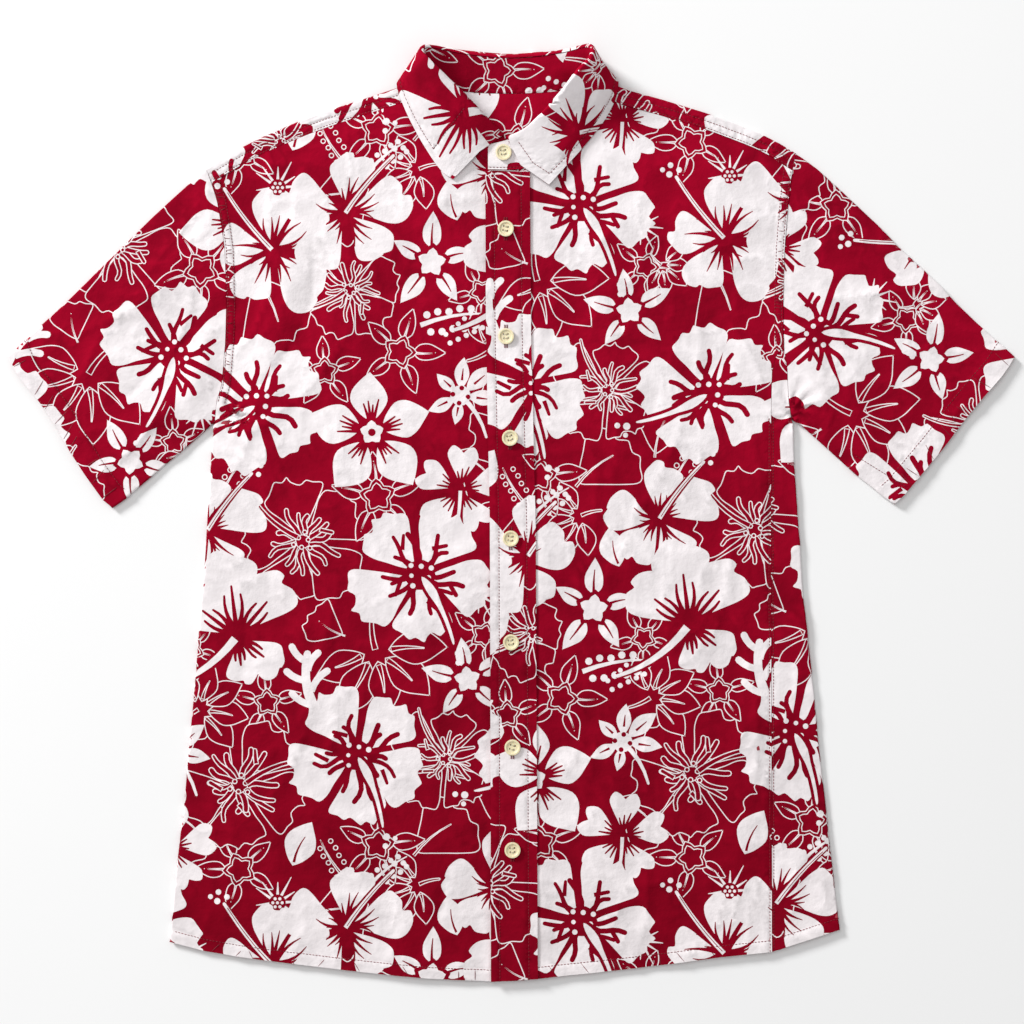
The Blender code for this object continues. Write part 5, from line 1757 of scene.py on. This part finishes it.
def studio_floor():
    """A plain pale surface."""
    made, shader, place = finish("studio_floor")
    if not shader:
        return made
    base = bpy.context.scene.shirt_colours.floor
    body = place.noise(3.0, 2.0).blend(colour(base), colour(base, 0.985))
    body.feed(shader, "Base Color")
    dress(shader, Roughness=0.8, Specular_IOR_Level=0.1)
    return made


# ---------------------------------------------------------------- buttons
def nothing_selected():
    if bpy.context.mode != "OBJECT":
        bpy.ops.object.mode_set(mode="OBJECT")
    bpy.ops.object.select_all(action="DESELECT")


def select_faces(piece, chosen):
    """In edit mode, selects the faces for which chosen says yes, and nothing else."""
    bpy.ops.mesh.select_mode(type="FACE")
    bpy.ops.mesh.select_all(action="DESELECT")
    bm = bmesh.from_edit_mesh(piece.data)
    for face in bm.faces:
        face.select_set(bool(chosen(face)))
    bm.select_flush_mode()
    bmesh.update_edit_mesh(piece.data)


def drill_hole(button, x, y):
    nothing_selected()
    bpy.ops.mesh.primitive_cylinder_add(
        vertices=20, radius=HOLE_RADIUS * MM, depth=12 * MM, location=(x, y, 0.0)
    )
    cutter = bpy.context.object
    nothing_selected()
    button.select_set(True)
    bpy.context.view_layer.objects.active = button
    drill = button.modifiers.new("hole", "BOOLEAN")
    drill.object = cutter
    drill.operation = "DIFFERENCE"
    drill.solver = "EXACT"
    bpy.ops.object.modifier_apply(modifier=drill.name)
    bpy.data.objects.remove(cutter, do_unlink=True)


def turned_button(radius, height):
    """One four-hole button at the origin: raised rim, dished floor, drilled and smoothed."""
    nothing_selected()
    bpy.ops.mesh.primitive_cylinder_add(
        vertices=64, radius=radius, depth=height, location=(0.0, 0.0, height / 2)
    )
    button = bpy.context.object
    bpy.ops.object.transform_apply(location=True, rotation=True, scale=True)
    bpy.ops.object.mode_set(mode="EDIT")
    select_faces(button, lambda face: face.normal.z > 0.9)
    bpy.ops.mesh.inset(thickness=1.5 * MM)
    bpy.ops.mesh.inset(thickness=0.8 * MM)
    bpy.ops.transform.translate(value=(0.0, 0.0, -0.85 * MM))
    bpy.ops.mesh.inset(thickness=1.4 * MM)
    bpy.ops.transform.translate(value=(0.0, 0.0, -0.1 * MM))
    select_faces(button, lambda face: face.normal.z < -0.9)
    bpy.ops.mesh.inset(thickness=1.2 * MM)
    bpy.ops.transform.translate(value=(0.0, 0.0, 0.15 * MM))
    bpy.ops.object.mode_set(mode="OBJECT")
    place = HOLE_PLACE * MM
    for x in (-place, place):
        for y in (-place, place):
            drill_hole(button, x, y)
    soften = button.modifiers.new("soften", "BEVEL")
    soften.width = 0.28 * MM
    soften.segments = 3
    soften.limit_method = "ANGLE"
    soften.angle_limit = math.radians(30.0)
    bpy.ops.object.modifier_apply(modifier=soften.name)
    bpy.ops.object.shade_smooth_by_angle(angle=math.radians(35.0))
    return button


BUTTON_LEANS = (7, -12, 4, 16, -6, 9, -15, 3)  # degrees that each button is turned by
BAR_HEIGHT, BAR_RISE = 1.25, 0.35  # of the thread over a button's back, at its ends and middle
BAR_SPREAD, BAR_RADIUS = 0.28, 0.34


def sew_on_buttons():
    """Each button where its place in the frame is, with two bars of thread across its holes."""
    low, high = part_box("button_1")
    pattern = turned_button((high[0] - low[0]) / 2, high[2] - low[2])
    bars = []
    up = np.array([[0.0, 0.0, 1.0]])
    for number, degrees in enumerate(BUTTON_LEANS):
        node = f"button_{number}"
        low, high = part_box(node)
        middle = np.array([(low[0] + high[0]) / 2, (low[1] + high[1]) / 2, low[2]])
        mesh = pattern.data.copy()
        place = np.empty(len(mesh.vertices) * 3)
        mesh.vertices.foreach_get("co", place)
        place = place.reshape(-1, 3)
        c, s = math.cos(math.radians(degrees)), math.sin(math.radians(degrees))
        turned = place @ np.array([[c, s, 0.0], [-s, c, 0.0], [0.0, 0.0, 1.0]])
        mesh.vertices.foreach_set("co", (turned + middle).ravel())
        mesh.update()
        made = linked(f"{node}_turned", mesh)
        mesh.materials.clear()
        mesh.materials.append(ivory())
        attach(made, "root")
        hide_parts(node)
        at = middle / MM + CENTRE
        for side in (-1, 1):
            ends = []
            for end in (-1, 1):
                x, y = end * HOLE_PLACE, side * HOLE_PLACE
                ends.append(at + (c * x - s * y, s * x + c * y, BAR_HEIGHT))
            crown = (ends[0] + ends[1]) / 2 + (0.0, 0.0, BAR_RISE)
            for spread in (-BAR_SPREAD, BAR_SPREAD):
                aside = np.array([-s, c, 0.0]) * spread
                bars.append((*[at[None] + aside for at in (ends[0], crown, ends[1])], up))
    bpy.data.objects.remove(pattern, do_unlink=True)
    thread("button_thread", bars, "button_thread", BAR_RADIUS)


# ---------------------------------------------------------------- what a user can change
class ShirtSizes(bpy.types.PropertyGroup):
    """Sizes of the cloth's detail."""

    crumples: FloatProperty(
        name="Crumple height", description="Height of the fine crumples", default=0.0024,
        min=0.0, unit="LENGTH",
    )
    creases: FloatProperty(
        name="Crease share", description="Share of the pressed creases' height", default=1.5,
        min=0.0, subtype="FACTOR",
    )
    stitch: FloatProperty(
        name="Stitch length", description="Length of one stitch", default=0.0024, min=0.001,
        unit="LENGTH",
    )
    stitch_gap: FloatProperty(
        name="Stitch gap", description="Gap between stitches", default=0.0004, min=0.0,
        unit="LENGTH",
    )
    thread: FloatProperty(
        name="Thread radius", description="Radius of the sewing thread", default=0.00028,
        min=0.0001, unit="LENGTH",
    )


class ShirtColours(bpy.types.PropertyGroup):
    """Colours of the cloth, the thread and the buttons."""

    ground: FloatVectorProperty(
        name="Ground at the collar", description="Colour round the print, at the top",
        default=(0.36, 0.0012, 0.02), size=3, subtype="COLOR", min=0.0, max=1.0,
    )
    # Painted shade: the ground as it darkens to the hem, also the base of the painted shade in hollows
    # and crease lines.
    ground_shaded: FloatVectorProperty(
        name="Ground at the hem", description="Colour round the print, at the bottom",
        default=(0.215, 0.0008, 0.01), size=3, subtype="COLOR", min=0.0, max=1.0,
    )
    white: FloatVectorProperty(
        name="Print at the collar", description="Colour of the flowers, at the top",
        default=(0.9, 0.85, 0.865), size=3, subtype="COLOR", min=0.0, max=1.0,
    )
    # Painted shade: the print's white as it darkens to the hem, also the base of the painted shade in
    # hollows.
    white_shaded: FloatVectorProperty(
        name="Print at the hem", description="Colour of the flowers, at the bottom",
        default=(0.85, 0.79, 0.8), size=3, subtype="COLOR", min=0.0, max=1.0,
    )
    reverse: FloatVectorProperty(
        name="Reverse", description="Colour of the cloth's unprinted side",
        default=(0.42, 0.06, 0.08), size=3, subtype="COLOR", min=0.0, max=1.0,
    )
    thread: FloatVectorProperty(
        name="Thread", description="Colour of the seams' thread",
        default=(0.22, 0.002, 0.015), size=3, subtype="COLOR", min=0.0, max=1.0,
    )
    button_thread: FloatVectorProperty(
        name="Button thread", description="Colour of the thread that holds the buttons",
        default=(0.74, 0.66, 0.45), size=3, subtype="COLOR", min=0.0, max=1.0,
    )
    button: FloatVectorProperty(
        name="Buttons", description="Colour of the buttons",
        default=(0.78, 0.7, 0.46), size=3, subtype="COLOR", min=0.0, max=1.0,
    )
    floor: FloatVectorProperty(
        name="Floor", description="Colour of the surface that the shirt lies on",
        default=(0.88, 0.88, 0.88), size=3, subtype="COLOR", min=0.0, max=1.0,
    )


# ---------------------------------------------------------------- operators
def make(form, both_sides=False):
    """Sews a piece, its seams' thread, and the dark thread bars that paint the shade in its seams'
    puckers.
    """
    sew(form, both_sides)
    stitches = []
    for line in form.seams:
        thread_along(form, line, stitches)
    # Dark thread bars that paint the shade in the seams' puckers.
    for line, near, far, pitch in form.pucker_shade_bars:
        pucker_shade_bars_along(form, line, near, far, pitch, stitches)
    if form.name == "placket":
        for x, y in BUTTONS[1:]:
            buttonhole(form, x, y, stitches)
    # One object holds the seams' thread and the thread bars of painted pucker shade.
    thread(f"{form.name}_stitching_and_shade_bars", stitches, "crimson_thread")


def buttonhole(form, x, y, stitches):
    """The worked ends of a buttonhole, which show beyond its button."""
    places = [y + 0.75 * k for k in range(-13, 14) if abs(0.75 * k) > 6.2]
    for side in (-1, 1):
        first = np.array([(x + side * 0.25, at) for at in places])
        last = np.array([(x + side * 1.7, at) for at in places])
        add_thread_bars(form, first, last, 0.15, 0.3, stitches)


class SHIRT_OT_back(bpy.types.Operator):
    """Cuts, prints and creases the back, which rolls forward at the wearer's left"""

    bl_idname = "shirt.back"
    bl_label = "Back"

    def execute(self, context):
        make(back_form())
        return {"FINISHED"}


class SHIRT_OT_yoke(bpy.types.Operator):
    """Makes the yoke, whose inside shows in the neck"""

    bl_idname = "shirt.yoke"
    bl_label = "Yoke"

    def execute(self, context):
        make(yoke_form(), both_sides=True)
        return {"FINISHED"}


class SHIRT_OT_fronts(bpy.types.Operator):
    """Makes both fronts"""

    bl_idname = "shirt.fronts"
    bl_label = "Fronts"

    def execute(self, context):
        make(front_right_form())
        make(front_left_form())
        return {"FINISHED"}


class SHIRT_OT_placket(bpy.types.Operator):
    """Makes the button band with its buttonholes"""

    bl_idname = "shirt.placket"
    bl_label = "Button band"

    def execute(self, context):
        make(placket_form())
        return {"FINISHED"}


class SHIRT_OT_sleeves(bpy.types.Operator):
    """Makes both sleeves with their hems"""

    bl_idname = "shirt.sleeves"
    bl_label = "Sleeves"

    def execute(self, context):
        make(sleeve_form(
            "sleeve_right", ARMHOLE_RIGHT, SLEEVE_RIGHT_TOP, SLEEVE_RIGHT_UNDER, CUFF_RIGHT, 1,
            UNDERARM_RIGHT, SHOULDER_MITRE_RIGHT,
        ))
        make(sleeve_form(
            "sleeve_left", ARMHOLE_LEFT, SLEEVE_LEFT_TOP, SLEEVE_LEFT_UNDER, CUFF_LEFT, -1,
            UNDERARM_LEFT, SHOULDER_MITRE_LEFT,
        ))
        return {"FINISHED"}


class SHIRT_OT_collar(bpy.types.Operator):
    """Makes the collar's stand and its leaf"""

    bl_idname = "shirt.collar"
    bl_label = "Collar"

    def execute(self, context):
        make(stand_form(), both_sides=True)
        make(leaf_form(), both_sides=True)
        return {"FINISHED"}


class SHIRT_OT_buttons(bpy.types.Operator):
    """Turns the buttons and sews them on"""

    bl_idname = "shirt.buttons"
    bl_label = "Buttons"

    def execute(self, context):
        sew_on_buttons()
        return {"FINISHED"}


class SHIRT_OT_stage(bpy.types.Operator):
    """Lays the floor and sets the lights and the camera"""

    bl_idname = "shirt.stage"
    bl_label = "Stage"

    def execute(self, context):
        nothing_selected()
        bpy.ops.mesh.primitive_plane_add(size=9.0, location=(0.0, 0.0, -0.0004))
        floor = bpy.context.object
        floor.name = "studio_floor"
        bpy.ops.object.transform_apply(location=True, rotation=True, scale=True)
        floor.data.materials.append(studio_floor())
        soft_light("softbox_over", (-0.6, 0.8, 2.8), 2.0, 21.0)
        soft_light("softbox_left", (-5.0, 4.4, 2.9), 1.7, 570.0)
        world = context.scene.world or bpy.data.worlds.new("studio")
        context.scene.world = world
        world.use_nodes = True
        backdrop = world.node_tree.nodes["Background"]
        backdrop.inputs["Color"].default_value = (1.0, 1.0, 1.0, 1.0)
        backdrop.inputs["Strength"].default_value = 0.46
        camera = bpy.data.cameras.new("camera")
        camera.sensor_width = SENSOR
        camera.lens = SENSOR * (CAMERA_HEIGHT - LIE) / PICTURE_WIDTH
        holder = linked("camera", camera)
        holder.location = (0.00045, 0.00223, CAMERA_HEIGHT * MM)
        context.scene.camera = holder
        context.scene.view_settings.view_transform = "Standard"
        return {"FINISHED"}


def soft_light(name, place, size, power):
    """A round soft light that points at the origin."""
    light = bpy.data.lights.new(name, "AREA")
    light.shape = "DISK"
    light.size = size
    light.energy = power
    holder = linked(name, light)
    holder.location = place
    holder.rotation_euler = (-Vector(place)).to_track_quat("-Z", "Y").to_euler()


class SHIRT_PT_panel(bpy.types.Panel):
    """Lists the shirt's sizes, colours and pieces"""

    bl_idname = "SHIRT_PT_panel"
    bl_label = "Printed cotton shirt"
    bl_space_type = "VIEW_3D"
    bl_region_type = "UI"
    bl_category = "Shirt"

    def draw(self, context):
        column = self.layout.column()
        for group in (context.scene.shirt_sizes, context.scene.shirt_colours):
            for name in group.__annotations__:
                column.prop(group, name)
        for operator in OPERATORS:
            column.operator(operator.bl_idname)


OPERATORS = (
    SHIRT_OT_stage, SHIRT_OT_back, SHIRT_OT_yoke, SHIRT_OT_fronts, SHIRT_OT_placket,
    SHIRT_OT_sleeves, SHIRT_OT_collar, SHIRT_OT_buttons,
)
CLASSES = (ShirtSizes, ShirtColours, *OPERATORS, SHIRT_PT_panel)


def register():
    for item in CLASSES:
        bpy.utils.register_class(item)
    bpy.types.Scene.shirt_sizes = PointerProperty(type=ShirtSizes)
    bpy.types.Scene.shirt_colours = PointerProperty(type=ShirtColours)


def unregister():
    del bpy.types.Scene.shirt_colours
    del bpy.types.Scene.shirt_sizes
    for item in reversed(CLASSES):
        bpy.utils.unregister_class(item)


def main():
    register()
    bpy.ops.shirt.stage()
    bpy.ops.shirt.back()
    bpy.ops.shirt.yoke()
    bpy.ops.shirt.fronts()
    bpy.ops.shirt.placket()
    bpy.ops.shirt.sleeves()
    bpy.ops.shirt.collar()
    bpy.ops.shirt.buttons()


if __name__ == "__main__":
    main()
